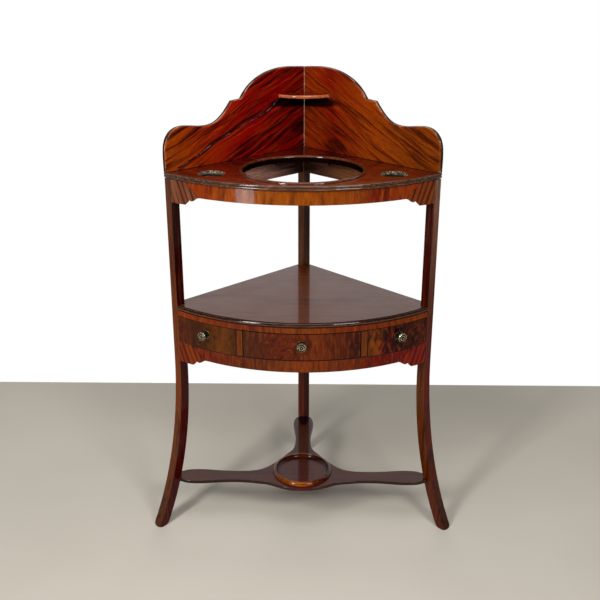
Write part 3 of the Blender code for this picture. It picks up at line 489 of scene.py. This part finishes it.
gallery_looks = {
    "left": gallery_look(
        "left", 22, [(0.0, "#680204"), (0.5, "#980604"), (0.75, "#9e2804"), (1.0, "#9c4604")],
        "#240106", "#d0480a",
        # Painted shade near the corner
        (CORNER + LEFT_WALL * 0.03 + UP * 0.054, (0.040, 0.040, 0.024), 0.7, 0.5),
        dark_share=0.90, pale_share=0.36, edge=(0.53, 0.41)),
    "right": gallery_look(
        "right", 27, [(0.0, "#943204"), (0.25, "#780e04"), (0.5, "#943a06"), (1.0, "#7c3a06")],
        "#380804", "#b4560c",
        # Painted shade just above the top board
        (CORNER + RIGHT_WALL * 0.12 + UP * 0.018, (0.050, 0.050, 0.024), 0.6, 0.5),
        dark_share=0.80, pale_share=0.32, edge=(0.52, 0.40)),
}


def outline_worn(board_side):
    """The front arris of a board's shaped outline is worn round."""
    def on_outline(one, other):
        ends = [point - CORNER for point in (one, other)]
        on_face = all(abs(end.dot(board_side) - BOARD_FACE) < IN_FACE for end in ends)
        return (on_face and max(abs(end.x) for end in ends) > CLEAR_OF_MITRE
                and max(end.z for end in ends) > CLEAR_OF_TOP)

    def shape(piece):
        choose(piece, on_outline)
        bpy.ops.mesh.bevel(offset=0.0050, segments=5, affect="EDGES")
        bpy.ops.mesh.select_all(action="SELECT")
        bpy.ops.mesh.bisect(plane_co=CORNER + UP * GLUE_END, plane_no=UP)
    return shape


def gallery_paint(board_side, bare_back):
    """Glue line in the corner, dark end grain, and between it and the face a worn pale line.
    The dark is also painted shade, on the edge faces and in the joints with the top board, and
    the pale line is also a painted highlight. The back was never polished."""
    def paint(centre, normal):
        out = centre - CORNER
        facing = normal.dot(board_side)
        if facing < -SQUARE_ON:
            return bare_back
        if out.z < JOINT_REACH:
            return end_grain_and_shade
        if abs(out.x) < MITRE_REACH and facing < SQUARE_ON:
            return glue_line if out.z > GLUE_END else end_grain_and_shade
        if facing < RIM_END:
            return end_grain_and_shade
        return worn_and_highlit_rim if facing < RIM_START else None
    return paint


for name, (wall, side) in SIDES.items():
    bare_back = bare_lining("unpolished_back_" + name, wall, side, "#54301e", "#341a10")
    worked("gallery_" + name, (gallery_looks[name], worn_and_highlit_rim, end_grain_and_shade, glue_line, bare_back),
           0.0009, 3, outline_worn(side), gallery_paint(side, bare_back))

# A shrinkage crack in the left gallery board: a dark line of painted shade in its depth, and
# beside it the lip of the split, painted pale as a highlight where its fibres stand up. Places are
# (distance along the wall, height).

CRACK = [(0.4200, 0.9034), (0.3733, 0.9198), (0.3492, 0.9293), (0.3247, 0.9413), (0.3000, 0.9523),
         (0.2751, 0.9610), (0.2499, 0.9686), (0.2179, 0.9780), (0.1854, 0.9888), (0.1523, 0.9997),
         (0.1321, 1.0074), (0.1151, 1.0179), (0.1048, 1.0267), (0.0996, 1.0336)]
STRIP_ROOT = 0.0002  # how deep the strips reach into the board


def strip(name, rise, wide, proud, look):
    """A thin strip along the crack: how far its upper edge is above the crack's places, how wide
    it is, and how far it stands out from the board."""
    points = [REAR_CORNER + LEFT_WALL * along + RIGHT_WALL * (BOARD_FACE + proud) + UP * (z + rise)
              for along, z in CRACK]
    piece = drawn_out(name, points)
    bpy.ops.mesh.select_all(action="SELECT")
    bpy.ops.mesh.extrude_edges_move(TRANSFORM_OT_translate={"value": UP * -wide})
    bpy.ops.mesh.select_all(action="SELECT")
    bpy.ops.mesh.extrude_region_move(
        TRANSFORM_OT_translate={"value": RIGHT_WALL * -(proud + STRIP_ROOT)})
    completed(piece, (look,), ARRIS)
    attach(piece, "stand")


strip("gallery_crack", 0.0008, 0.0014, 0.00008, painted_black_shade)
strip("gallery_crack_lip", -0.0006, 0.0006, 0.0004, torn_fibre)


# The boards. Broad ground colours lie left to right over the whole width.

across = (Vector((-0.31, 0, TOP)), Vector((0.31, 0, TOP)))
back_to_front = (REAR_CORNER, REAR_CORNER + FRONT * TOP_RADIUS)
over_dish = (DISH - RIGHT * 0.08, DISH + RIGHT * 0.08)
bead_under, bead_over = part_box("shelf_bead")

# Faces of the top board nearer than this to its walls or its front lie on its outline
WALL_MARGIN, FRONT_MARGIN = 0.010, 0.015
TOP_ARRIS = 0.0008  # and nearer than this to its surface, on the arris of a hole
BASIN_REACH = 0.150  # the wall of the basin hole lies within this, those of the cups outside
# The corner shelf: its front ends this far from the walls, and its long edges are level
SHELF_ENDS = 0.0115
LEVEL = 0.0005
ROUND_EDGE = 0.9  # as UPRIGHT, for the half-round edge


def top_paint(centre, normal):
    """The walls of the basin hole are painted black as shade, those of the cup holes worn bare,
    with painted shade at their foot.
    """
    out = centre - REAR_CORNER
    on_outline = (min(out.dot(LEFT_WALL), out.dot(RIGHT_WALL)) < WALL_MARGIN
                  or out.xy.length > TOP_RADIUS - FRONT_MARGIN)
    if centre.z < TOP - TOP_ARRIS and abs(normal.z) < UPRIGHT and not on_outline:
        return painted_black_shade if (centre - BASIN).xy.length < BASIN_REACH else bare_cup_wall
    return None


def front_rounded(piece):
    """The front edge of the corner shelf is half round."""
    def along_front(one, other):
        ends = [point - REAR_CORNER for point in (one, other)]
        clear = all(min(end.dot(LEFT_WALL), end.dot(RIGHT_WALL)) > SHELF_ENDS for end in ends)
        return clear and abs(one.z - other.z) < LEVEL
    choose(piece, along_front)
    bpy.ops.mesh.bevel(offset=0.0034, segments=5, affect="EDGES")


def board(name, face, colours, dark, pale, streak, lie=across, grain=RIGHT, **rest):
    """lie is the two points that the ground colours lie between."""
    return french_polish("mahogany_" + name, grain, face, (*lie, colours), dark, pale, streak,
                         **rest)


# Painted reflection and shade: the top darkens to crimson towards the back, where the red gallery
# stands over it
top_look_shaded_back = board(
    "top", UP, [(0.0, "#280002"), (0.5, "#4c0404"), (0.8, "#6a1e04"), (1.0, "#7e3606")],
    "#1c0002", "#94400a", (0.30, 0.010), back_to_front, wave=0.006, polish=0.9, gloss=0.11)
shelf_look = board(
    "shelf", UP, [(0.0, "#562a0a"), (0.5, "#5e280a"), (1.0, "#502208")],
    "#281206", "#744018", (0.30, 0.014), wave=0.006, polish=0.50, dark_share=0.45)
corner_shelf_look = board(
    "corner_shelf", UP, [(0.0, "#5a0c04"), (1.0, "#6c1c06")],
    "#300604", "#94300c", (0.10, 0.006), wave=0.003, polish=0.8, dark_share=0.5)
# Painted highlight: the half-round front edge is far paler and more orange than the top of the
# same wood
corner_shelf_highlit_edge_look = board(
    "corner_shelf_edge", FRONT, [(0.0, "#c0642e"), (1.0, "#b45a24")],
    "#7a2c0a", "#f0b490", (0.10, 0.006), wave=0.003, polish=0.9, dark_share=0.4, pale_share=0.6,
    gloss=0.14)
stretcher_look = board(
    "stretcher", UP, [(0.0, "#421c0c"), (0.5, "#48180a"), (1.0, "#421c0c")],
    "#240804", "#5e240c", (0.22, 0.010), wave=0.004, polish=0.38)
# Painted shade: the rear arm is darkened where it meets its leg
arm_contact_shade = (Vector((0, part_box("rear_leg")[0].y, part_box("stretcher_rear_arm")[1].z)),
           (0.0180, 0.055, 0.010), 0.97, 0.80)
rear_arm_look = board(
    "rear_arm", UP, [(0.0, "#421c0c"), (1.0, "#421c0c")],
    "#240804", "#5e240c", (0.22, 0.010), grain=FRONT, wave=0.004, polish=0.38, grime=(arm_contact_shade,))
stretcher_edge_look = board(
    "stretcher_edge", FRONT, [(0.0, "#1c0604"), (0.38, "#260504"), (0.5, "#500404"),
                              (0.62, "#2c0504"), (1.0, "#260a05")],
    "#120304", "#5a160a", (0.12, 0.006), wave=0.004, polish=0.6)
# Orange where it faces the light in front, dark red at both sides
dish_look = board(
    "dish_ring", UP, [(0.0, "#441204"), (0.5, "#a05204"), (0.62, "#8a3404"), (0.70, "#4c0c06"),
                      (1.0, "#300804")],
    "#340c04", "#b06410", (0.05, 0.008), over_dish, wave=0.003, polish=0.4, dark_share=0.4)
# Painted shade: the hollow inside of the ring is nearly black
dish_shaded_hollow_look = board(
    "dish_inner", UP, [(0.0, "#0c0303"), (0.5, "#3c1404"), (1.0, "#0c0303")],
    "#100403", "#6a2c08", (0.05, 0.008), over_dish, wave=0.003, polish=0.3, dark_share=0.5)
bead_look = board(
    "bead", UP, [(0.0, "#44190a"), (0.5, "#602c10"), (1.0, "#44190a")],
    "#200a06", "#946038", (0.06, 0.008), wave=0.003, polish=0.8)
moulding_look = board(
    "edge_moulding", UP, [(0.0, "#42281c"), (0.5, "#60341a"), (1.0, "#482c1c")],
    "#180a06", "#a07c64", (0.10, 0.005), wave=0.003, polish=1.0, pale_share=0.5)
# Black above, painted as the shade under the shelf's edge, and orange-brown below
shelf_bead_shade_look = board(
    "shelf_bead", FRONT, [(0.0, "#140a06"), (0.4, "#20100a"), (0.6, "#6a3414"), (1.0, "#703818")],
    "#180806", "#8a5838", (0.10, 0.005), (UP * bead_over.z, UP * bead_under.z), wave=0.003,
    polish=0.9)

worked("top_board", (top_look_shaded_back, top_look_shaded_back, painted_black_shade, bare_cup_wall), 0.0005, paint=top_paint)
worked("shelf_board", (shelf_look, wax_and_shade_in_joints), 0.0008)
worked("shelf_bead", (shelf_bead_shade_look,), 0.0003)
worked("corner_shelf", (corner_shelf_look, corner_shelf_highlit_edge_look), 0.0005, 2, front_rounded,
       lambda centre, normal: (corner_shelf_highlit_edge_look if abs(normal.z) < ROUND_EDGE
                               else corner_shelf_look))


# Veneered fronts. The veneer stands upright, so its figure shows as short upright stripes.


def veneer(name, left, right, colours, dark, pale, streak, wave=0.004, polish=0.18, gloss=0.08,
           pale_share=0.35, edge=(0.52, 0.36), **rest):
    """left and right are how far from the middle the ground colours start and end."""
    ground = (Vector((left, 0, SHELF)), Vector((right, 0, SHELF)), colours)
    return french_polish("veneer_" + name, UP, FRONT, ground, dark, pale, streak, wave, polish,
                         pale_share=pale_share, edge=edge, gloss=gloss, fine=0.6, **rest)


# Orange-brown with a gold middle and a dark red patch on the right
worked("top_apron", (veneer(
    "apron", -0.24, 0.24, [(0.0, "#842c06"), (0.35, "#924806"), (0.75, "#8a3c06"),
                           (0.84, "#681404"), (0.94, "#8a3008")],
    "#4c1404", "#b86410", (0.06, 0.011), polish=0.5, gloss=0.10), wax_and_shade_in_joints), 0.0004)
worked("case_rail_upper", (veneer(
    "upper_rail", -0.29, 0.29, [(0.0, "#803004"), (0.3, "#642004"), (0.5, "#783808"),
                                (0.7, "#702404"), (1.0, "#7c3408")],
    "#3c0e04", "#b0540c", (0.05, 0.010)), wax_and_shade_in_joints), 0.0010)
# Brown towards the left, dark red where it meets the right bracket
worked("case_rail_lower", (veneer(
    "lower_rail", -0.23, 0.23, [(0.0, "#702206"), (0.33, "#542606"), (0.48, "#783408"),
                                (0.75, "#682806"), (0.86, "#640c06")],
    "#300a04", "#9c440c", (0.06, 0.011), wave=0.006), wax_and_shade_in_joints), 0.0010)
for name in SIDES:
    worked("muntin_" + name, (veneer(
        "muntin_" + name, -0.2, 0.2, [(0.0, "#6a2e06"), (1.0, "#6a3206")],
        "#3c1408", "#98501c", (0.09, 0.005), wave=0.002), wax_and_shade_in_joints), 0.0015)
# A crotch figure left of the knob, paler in the middle, dark ends
worked("drawer_front", (veneer(
    "drawer_front", -0.1347, 0.1347, [(0.0, "#3e1e08"), (0.3, "#521806"), (0.6, "#6c2a06"),
                                      (0.85, "#501c06"), (1.0, "#280804")],
    "#2a0804", "#964210", (0.05, 0.012), wave=0.010,
    mark=((-0.045, -0.205, 0.525), 0.07, 0.030)), wax_and_shade_in_joints), 0.0013, 3)
# Golden brown, darker brown round the knob and towards the left, painted as shade
worked("sham_drawer_left", (veneer(
    "sham_drawer_left", -0.29, -0.152, [(0.0, "#541e08"), (0.35, "#381a08"), (0.8, "#603004"),
                                        (1.0, "#421e06")],
    "#260c04", "#783e0a", (0.04, 0.016), wave=0.012, gloss=0.07, edge=(0.5, 0.36),
    mark=((-0.235, -0.15, 0.525), 0.06, 0.02)), wax_and_shade_in_joints), 0.0013, 3)
# A pale upright band, then a nearly black burr with orange swirls
worked("sham_drawer_right", (veneer(
    "sham_drawer_right", 0.152, 0.29, [(0.0, "#5e2e04"), (0.20, "#743804"), (0.27, "#440806"),
                                       (0.55, "#1c0504"), (1.0, "#481606")],
    "#0c0202", "#a8440e", (0.05, 0.017), wave=0.008, gloss=0.07, dark_share=0.8, pale_share=0.45,
    edge=(0.50, 0.38), mark=((0.262, -0.135, 0.520), 0.060, 0.030)), wax_and_shade_in_joints), 0.0013, 3)

# Brackets: broad stripes that lean in towards the middle as they go down. One stripe and gap is
# 0.314 of the streak's width, 15 mm.
LEAN = math.radians(22)
for name, side, colour, dark, pale in (
        ("top_bracket_left", -1, "#744028", "#34140c", "#a06c50"),
        ("top_bracket_right", 1, "#843c16", "#380e08", "#b06c3c"),
        ("lower_bracket_left", -1, "#782804", "#320a02", "#98420a"),
        ("lower_bracket_right", 1, "#861a06", "#300402", "#a03410")):
    out = sum(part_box(name), Vector()) / 2 - BOW_CENTRE
    out.z = 0
    grain = UP * math.cos(LEAN) + UP.cross(out.normalized()) * side * math.sin(LEAN)
    striped = french_polish(
        "veneer_" + name, grain, out, (*across, [(0.0, colour), (1.0, colour)]), dark, pale,
        (0.30, 0.048), wave=0.0002, polish=0.2, dark_share=0.85, pale_share=0.5, edge=(0.65, 0.0),
        fine=0.5, even=True)
    worked(name, (striped, wax_and_shade_in_joints), 0.0006)


# Legs


ON_FLOOR = 0.001  # points lower than this are the corners of a foot


def feet_rounded(piece):
    """The corners of the feet are rounded off where they meet the floor."""
    choose(piece, lambda point: point.z < ON_FLOOR, "VERT")
    bpy.ops.mesh.bevel(offset=0.0115, segments=5, affect="VERTICES")


# Each leg has two looks of one wood, painted with light and shade, from foot to head: its faces
# towards the left front and the back, painted as lit from the left, then its face towards the
# right front, painted as shade. Towards the heads most turn greyer and paler, a painted
# reflection.
LEG_STOPS = (0.0, 0.45, 0.65, 1.0)
TO_RIGHT_FRONT = 0.75  # what that face's normal has at least of the right wall's direction
for name, sides in {
        "front_leg_left": (("#4c2c1a", "#7a3604", "#7c3804", "#503428"),
                           ("#480408", "#400406", "#300406", "#240404")),
        "front_leg_right": (("#561c08", "#5e3008", "#3c0a04", "#340604"),
                            ("#3a2418", "#6a0e06", "#602414", "#946e5a")),
        "rear_leg": (("#721c06", "#7c2a0a", "#6e3e22", "#74503a"),
                     ("#480604", "#5a0e08", "#54301e", "#5c4434"))}.items():
    lit_side_look, shaded_side_look = [
        french_polish(f"mahogany_{name}_{side}", UP, FRONT,
                      (Vector(), UP * TOP, list(zip(LEG_STOPS, colours))), "#1e0604", "#8c3e08",
                      (0.30, 0.009), wave=0.003, polish=0.25, pale_share=0.25, edge=(0.5, 0.36))
        for side, colours in zip(SIDES, sides)]
    worked(name, (lit_side_look, lit_side_look, shaded_side_look), 0.0022, 4, feet_rounded,
           lambda centre, normal: (shaded_side_look if normal.dot(RIGHT_WALL) > TO_RIGHT_FRONT
                                   else None))


# Stretcher: its outline flows without corners, and its upper edge is well rounded

# The ends at the legs, beyond these, and the joint with the rear arm aren't smoothed
SIDE_ENDS, REAR_END = 0.29, 0.18
JOINT_MARGIN = 0.002


def outline_eased(piece):
    """Smooths the outline, but for the ends at the legs and the joint with the rear arm."""
    choose(piece, lambda point: abs(point.x) < SIDE_ENDS and point.y < REAR_END
           and abs(point.y - ARM_JOINT) > JOINT_MARGIN, "VERT")
    bpy.ops.mesh.vertices_smooth(factor=0.5, repeat=14, zaxis=False)


def edge_paint(centre, normal):
    return stretcher_edge_look if abs(normal.z) < UPRIGHT else None


for node, look in (("stretcher_cross", stretcher_look), ("stretcher_rear_arm", rear_arm_look)):
    worked(node, (look, stretcher_edge_look), 0.0020, 4, outline_eased, edge_paint)


# Turned and run mouldings, finer than the solids they stand for

HALF_ROUND = 12  # facets in half a round


def half_round(centre, radius, first, height):
    """The (radius, height) points of half a round, clockwise from an angle in half turns."""
    turns = [math.pi * (first - i / HALF_ROUND) for i in range(HALF_ROUND + 1)]
    return [(centre[0] + radius * math.cos(turn), centre[1] + height * math.sin(turn))
            for turn in turns]


# Two reeds, one over the other, on a flat back
REED = 0.0028
REED_BACK = 0.0085
reeds = [point for level in (REED, 3 * REED)
         for point in half_round((TOP_RADIUS - REED, -level), REED, 0.5, REED)]
back = TOP_RADIUS - REED_BACK
settle(spun("top_edge_moulding_reeded", [(back, 0.0), *reeds, (back, -4 * REED)], CORNER, UP, 60,
            (moulding_look,), RIGHT_WALL, math.pi / 2, True), "top_edge_moulding")

# The basin's bead: a half round on a flat foot that is a little wider
BEAD_FOOT = 0.0095
BEAD_RADIUS, BEAD_HEIGHT = 0.00465, 0.0045
bead_low, bead_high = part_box("basin_bead")
outer = (bead_high.x - bead_low.x) / 2
profile = [(outer - BEAD_FOOT, 0.0),
           *half_round((outer - BEAD_FOOT / 2, 0.0), BEAD_RADIUS, 1, BEAD_HEIGHT)]
settle(spun("basin_bead_turned", profile, Vector((BASIN.x, BASIN.y, bead_low.z)), UP, 128,
            (bead_look,), closed=True), "basin_bead")

# The dish's ring: quarter round outside, a narrow top, hollowed inside. Points are (distance in
# from the outside, height).
DISH_WALL = [(0.0, 0.0), (0.0003, 0.0022), (0.0013, 0.0046), (0.0029, 0.0067), (0.0048, 0.0081),
             (0.0066, 0.0089), (0.0080, 0.0090), (0.0092, 0.0085), (0.0100, 0.0070),
             (0.0107, 0.0048), (0.0120, 0.0026), (0.0140, 0.0010), (0.0165, 0.0)]
DISH_HOLLOW = 0.0092  # where the painted shade inside starts
dish_low, dish_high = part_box("stretcher_dish_ring")
outer = (dish_high.x - dish_low.x) / 2
dish = spun("stretcher_dish_turned", [(outer - inwards, z) for inwards, z in DISH_WALL],
            Vector((DISH.x, DISH.y, dish_low.z)), UP, 128, (dish_look, dish_shaded_hollow_look),
            closed=True)
for face in dish.data.polygons:
    if (face.center - DISH).xy.length < outer - DISH_HOLLOW:
        face.material_index = 1
settle(dish, "stretcher_dish_ring")


# Knobs. Aged brass, yellow-grey metal: rubbed bright on the raised rings, brown-black with
# tarnish in the grooves and on the neck. Petals stand in a ring round the middle button.

rubbed_brass = blotched("rubbed_brass", 0.003, ["#6c6248", "#d8ccac"], 0.26, metallic=1.0)
tarnished_brass = blotched("tarnished_brass", 0.003, ["#050403", "#14100a"], 0.8)
plate_brass = blotched("plate_brass", 0.003, ["#342a1c", "#8c8064"], 0.35, metallic=1.0)
# Points are (radius, height over the middle of the face)
HEAD = [(0.0, 0.0000), (0.0014, -0.0001), (0.0020, -0.0008), (0.0024, -0.0020), (0.0036, -0.0021),
        (0.0042, -0.0010), (0.0054, -0.0006), (0.0066, -0.0010), (0.0072, -0.0021),
        (0.0084, -0.0022), (0.0090, -0.0010), (0.0103, -0.0008), (0.0112, -0.0022),
        (0.0115, -0.0045), (0.0110, -0.0068), (0.0092, -0.0084), (0.0062, -0.0095),
        (0.0050, -0.0118), (0.0055, -0.0142), (0.0068, -0.0158), (0.0068, -0.0164)]
HEAD_SINK = 0.0002  # the head starts this far behind the solid's face
GROOVES = ((0.0014, 0.0042), (0.0062, 0.0090))  # from one radius to another
NECK_DEPTH = 0.0045
PETALS = 12
PETAL_RING, PETAL_DEPTH, PETAL_RADIUS = 0.0078, 0.0016, 0.0006


def knob_place(node):
    """The middle of a solid knob's face, and which way it looks out of the bowed front."""
    middle = sum(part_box(node), Vector()) / 2
    axis = ((middle - BOW_CENTRE) * Vector((1, 1, 0))).normalized()
    points = [vertex.co for vertex in frame["nodes"][node].data.vertices]
    reach = max(point.dot(axis) for point in points)
    face = [point for point in points if point.dot(axis) > reach - MERGED]
    return sum(face, Vector()) / len(face), axis


def knob_head(name, middle, axis):
    head = spun(name, [(radius, height - HEAD_SINK) for radius, height in HEAD], middle, axis, 48,
                (rubbed_brass, tarnished_brass))
    for ring in head.data.polygons:
        out = ring.center - middle
        depth = -out.dot(axis)
        radius = (out + axis * depth).length
        hollow = any(inside < radius < outside for inside, outside in GROOVES)
        ring.material_index = 1 if hollow or depth > NECK_DEPTH else 0
    bpy.ops.object.mode_set(mode="EDIT")
    bpy.ops.mesh.select_all(action="DESELECT")
    bpy.ops.mesh.primitive_uv_sphere_add(segments=10, ring_count=6, radius=PETAL_RADIUS,
                                         location=middle + UP * PETAL_RING - axis * PETAL_DEPTH)
    bpy.ops.mesh.spin(steps=PETALS - 1, dupli=True, angle=math.tau * (PETALS - 1) / PETALS,
                      center=middle, axis=axis)
    bpy.ops.object.mode_set(mode="OBJECT")
    bpy.ops.object.shade_smooth_by_angle(angle=ARRIS_TURNED)
    return head


# One head is modelled in the middle, then copied, turned and moved to both sides
middle, axis = knob_place("knob_centre")
heads = {"centre": knob_head("knob_centre_turned", middle, axis)}
for name in SIDES:
    there, out = knob_place("knob_" + name)
    alone(heads["centre"])
    bpy.ops.object.duplicate()
    heads[name] = bpy.context.object
    heads[name].name = f"knob_{name}_turned"
    turn = math.atan2(out.y, out.x) - math.atan2(axis.y, axis.x)
    # The operator counts the angle the other way round
    bpy.ops.transform.rotate(value=-turn, orient_axis="Z", center_override=middle)
    bpy.ops.transform.translate(value=there - middle)
    bpy.ops.object.transform_apply(location=True, rotation=True, scale=True)
for name, head in heads.items():
    settle(head, "knob_" + name)
    worked("backplate_" + name, (plate_brass,), 0.0003, 3)
    finished_in(frame["nodes"]["knob_nut_" + name], (plate_brass,))


# Hidden framing, linings and the drawer box

# Side rails: stained dark outside. The face that shows through the basin hole is painted much
# paler, as light falling through the hole, the left one most.
INNER_FACE = 0.9  # what that face's normal has at least of the way the boards face
for name, pale in (("left", "#c99584"), ("right", "#865433")):
    wall, side = SIDES[name]
    stained, lit_inner_face = [
        french_polish(f"{kind}_rail_{name}", wall, side,
                      (CORNER, CORNER + wall * TOP_RADIUS, [(0.1, "#3c241c"), (0.5, colour)]),
                      "#241610", colour, (0.2, 0.01), wave=0.004, polish=0.1, dark_share=0.3,
                      edge=(0.5, 0.36))
        for kind, colour in (("stained", "#5a3c2e"), ("lit_inner", pale))]
    for piece in ("top_rail_", "case_side_"):
        worked(piece + name, (stained, stained, lit_inner_face), 0.0006,
               paint=lambda centre, normal: lit_inner_face if normal.dot(side) > INNER_FACE else None)

# Glue blocks: dusty brown pine, the left one painted darker as shade
dusty_pine = {"left": bare_lining("dusty_pine_left_shaded", LEFT_WALL, UP, "#2c1a0e", "#160c06"),
              "right": bare_lining("dusty_pine_right", RIGHT_WALL, UP, "#6e4420", "#4a2a10")}
bare_pine = bare_lining("bare_pine_runners", FRONT, UP, "#9a7448", "#6a4826")
oak_long = bare_lining("bare_oak_sides", FRONT, RIGHT, "#a88a5c", "#7a5c34")
oak_across = bare_lining("bare_oak_bottom", RIGHT, UP, "#a4845a", "#775830")
for node in ("drawer_back", "drawer_bottom"):
    worked(node, (oak_across,), 0.0005)
for name in SIDES:
    worked("drawer_side_" + name, (oak_long,), 0.0005)
    worked("top_glue_block_" + name, (dusty_pine[name],), 0.0005)
    for kind in ("runner", "guide", "kicker", "stop"):
        finished_in(frame["nodes"][f"drawer_{kind}_{name}"], (bare_pine,))


# Studio: pale floor, white surroundings behind, soft light from the left front and above


def soft_light(name, place, aim, width, height, power, mirrored=True):
    lamp = bpy.data.lights.new(name, "AREA")
    lamp.shape = "RECTANGLE"
    lamp.size = width
    lamp.size_y = height
    lamp.energy = power
    holder = bpy.data.objects.new(name, lamp)
    bpy.context.scene.collection.objects.link(holder)
    holder.location = place
    holder.rotation_euler = (Vector(aim) - Vector(place)).to_track_quat("-Z", "Y").to_euler()
    holder.visible_camera = False
    holder.visible_glossy = mirrored


# Width, height and power follow the place of each and the point it aims at
soft_light("softbox_left_high", (-1.30, -1.85, 2.00), (0, 0, 0.95), 0.42, 0.90, 42)
soft_light("softbox_left_low", (-1.30, -1.85, 0.42), (0, 0, 0.7), 0.42, 0.50, 5)
soft_light("softbox_right", (1.12, -2.00, 1.95), (0, 0, 0.8), 0.70, 0.42, 23)
soft_light("overhead", (0, -0.9, 3.2), (0, 0, 0.6), 2.2, 1.6, 26)
soft_light("behind", (0, 2.6, 1.9), (0, 0, 0.7), 1.8, 1.0, 14, False)

# The surroundings are white to the eye. As light they are dim, and mirrored in the polish they
# are very dim in front and white behind.
FILL_LIGHT = 0.11
MIRRORED_FRONT = 0.05
world = bpy.data.worlds.new("studio")
bpy.context.scene.world = world
world.use_nodes = True
air = world.node_tree
air.nodes.clear()
rays = add(air, "ShaderNodeLightPath").outputs
facing = add(air, "ShaderNodeTexCoord").outputs["Generated"]
depth = add(air, "ShaderNodeSeparateXYZ", {"Vector": facing}).outputs["Y"]
behind = add(air, "ShaderNodeMapRange", {"Value": depth, "From Min": 0.0, "From Max": 0.35,
             "To Min": MIRRORED_FRONT, "To Max": 1.0},
             interpolation_type="SMOOTHSTEP").outputs["Result"]
mirrored = add(air, "ShaderNodeMath", {0: rays["Is Glossy Ray"], 1: behind},
               operation="MULTIPLY").outputs["Value"]
seen = add(air, "ShaderNodeMath", {0: rays["Is Camera Ray"], 1: rays["Is Transmission Ray"]},
           operation="MAXIMUM").outputs["Value"]
shown = add(air, "ShaderNodeMath", {0: seen, 1: mirrored}, operation="MAXIMUM").outputs["Value"]
diffuse = add(air, "ShaderNodeMath", {0: rays["Is Diffuse Ray"], 1: FILL_LIGHT},
              operation="MULTIPLY").outputs["Value"]
strength = add(air, "ShaderNodeMath", {0: shown, 1: diffuse}, operation="MAXIMUM").outputs["Value"]
sky = add(air, "ShaderNodeBackground", {"Color": (1, 1, 1, 1), "Strength": strength})
add(air, "ShaderNodeOutputWorld", {"Surface": sky.outputs["Background"]})

# The floor reaches past the camera in front, and ends behind the washstand
FLOOR_WIDTH, FLOOR_DEPTH, FLOOR_BACK = 9, 4.65, 0.65
bpy.ops.object.select_all(action="DESELECT")
bpy.ops.mesh.primitive_plane_add(size=1)
floor = bpy.context.object
floor.name = "floor"
floor.scale = (FLOOR_WIDTH, FLOOR_DEPTH, 1)
floor.location = (0, FLOOR_BACK - FLOOR_DEPTH / 2, 0)
bpy.ops.object.transform_apply(location=True, rotation=True, scale=True)
floor.data.materials.append(blotched("pale_floor", 0.9, ["#c9c2b5", "#d0c9bc"], 0.8))

# The camera was solved from the corners of the legs, top, shelf and stretcher
VIEW = Vector((-0.0149693, 0.9325842, -0.3606420))
lens = bpy.data.cameras.new("photograph")
lens.lens = 51.78355
lens.sensor_width = 36
camera = bpy.data.objects.new("photograph", lens)
bpy.context.scene.collection.objects.link(camera)
camera.location = (0.0249196, -2.0014453, 1.3333994)
camera.rotation_euler = VIEW.to_track_quat("-Z", "Y").to_euler()
bpy.context.scene.camera = camera
bpy.context.scene.view_settings.view_transform = "Standard"
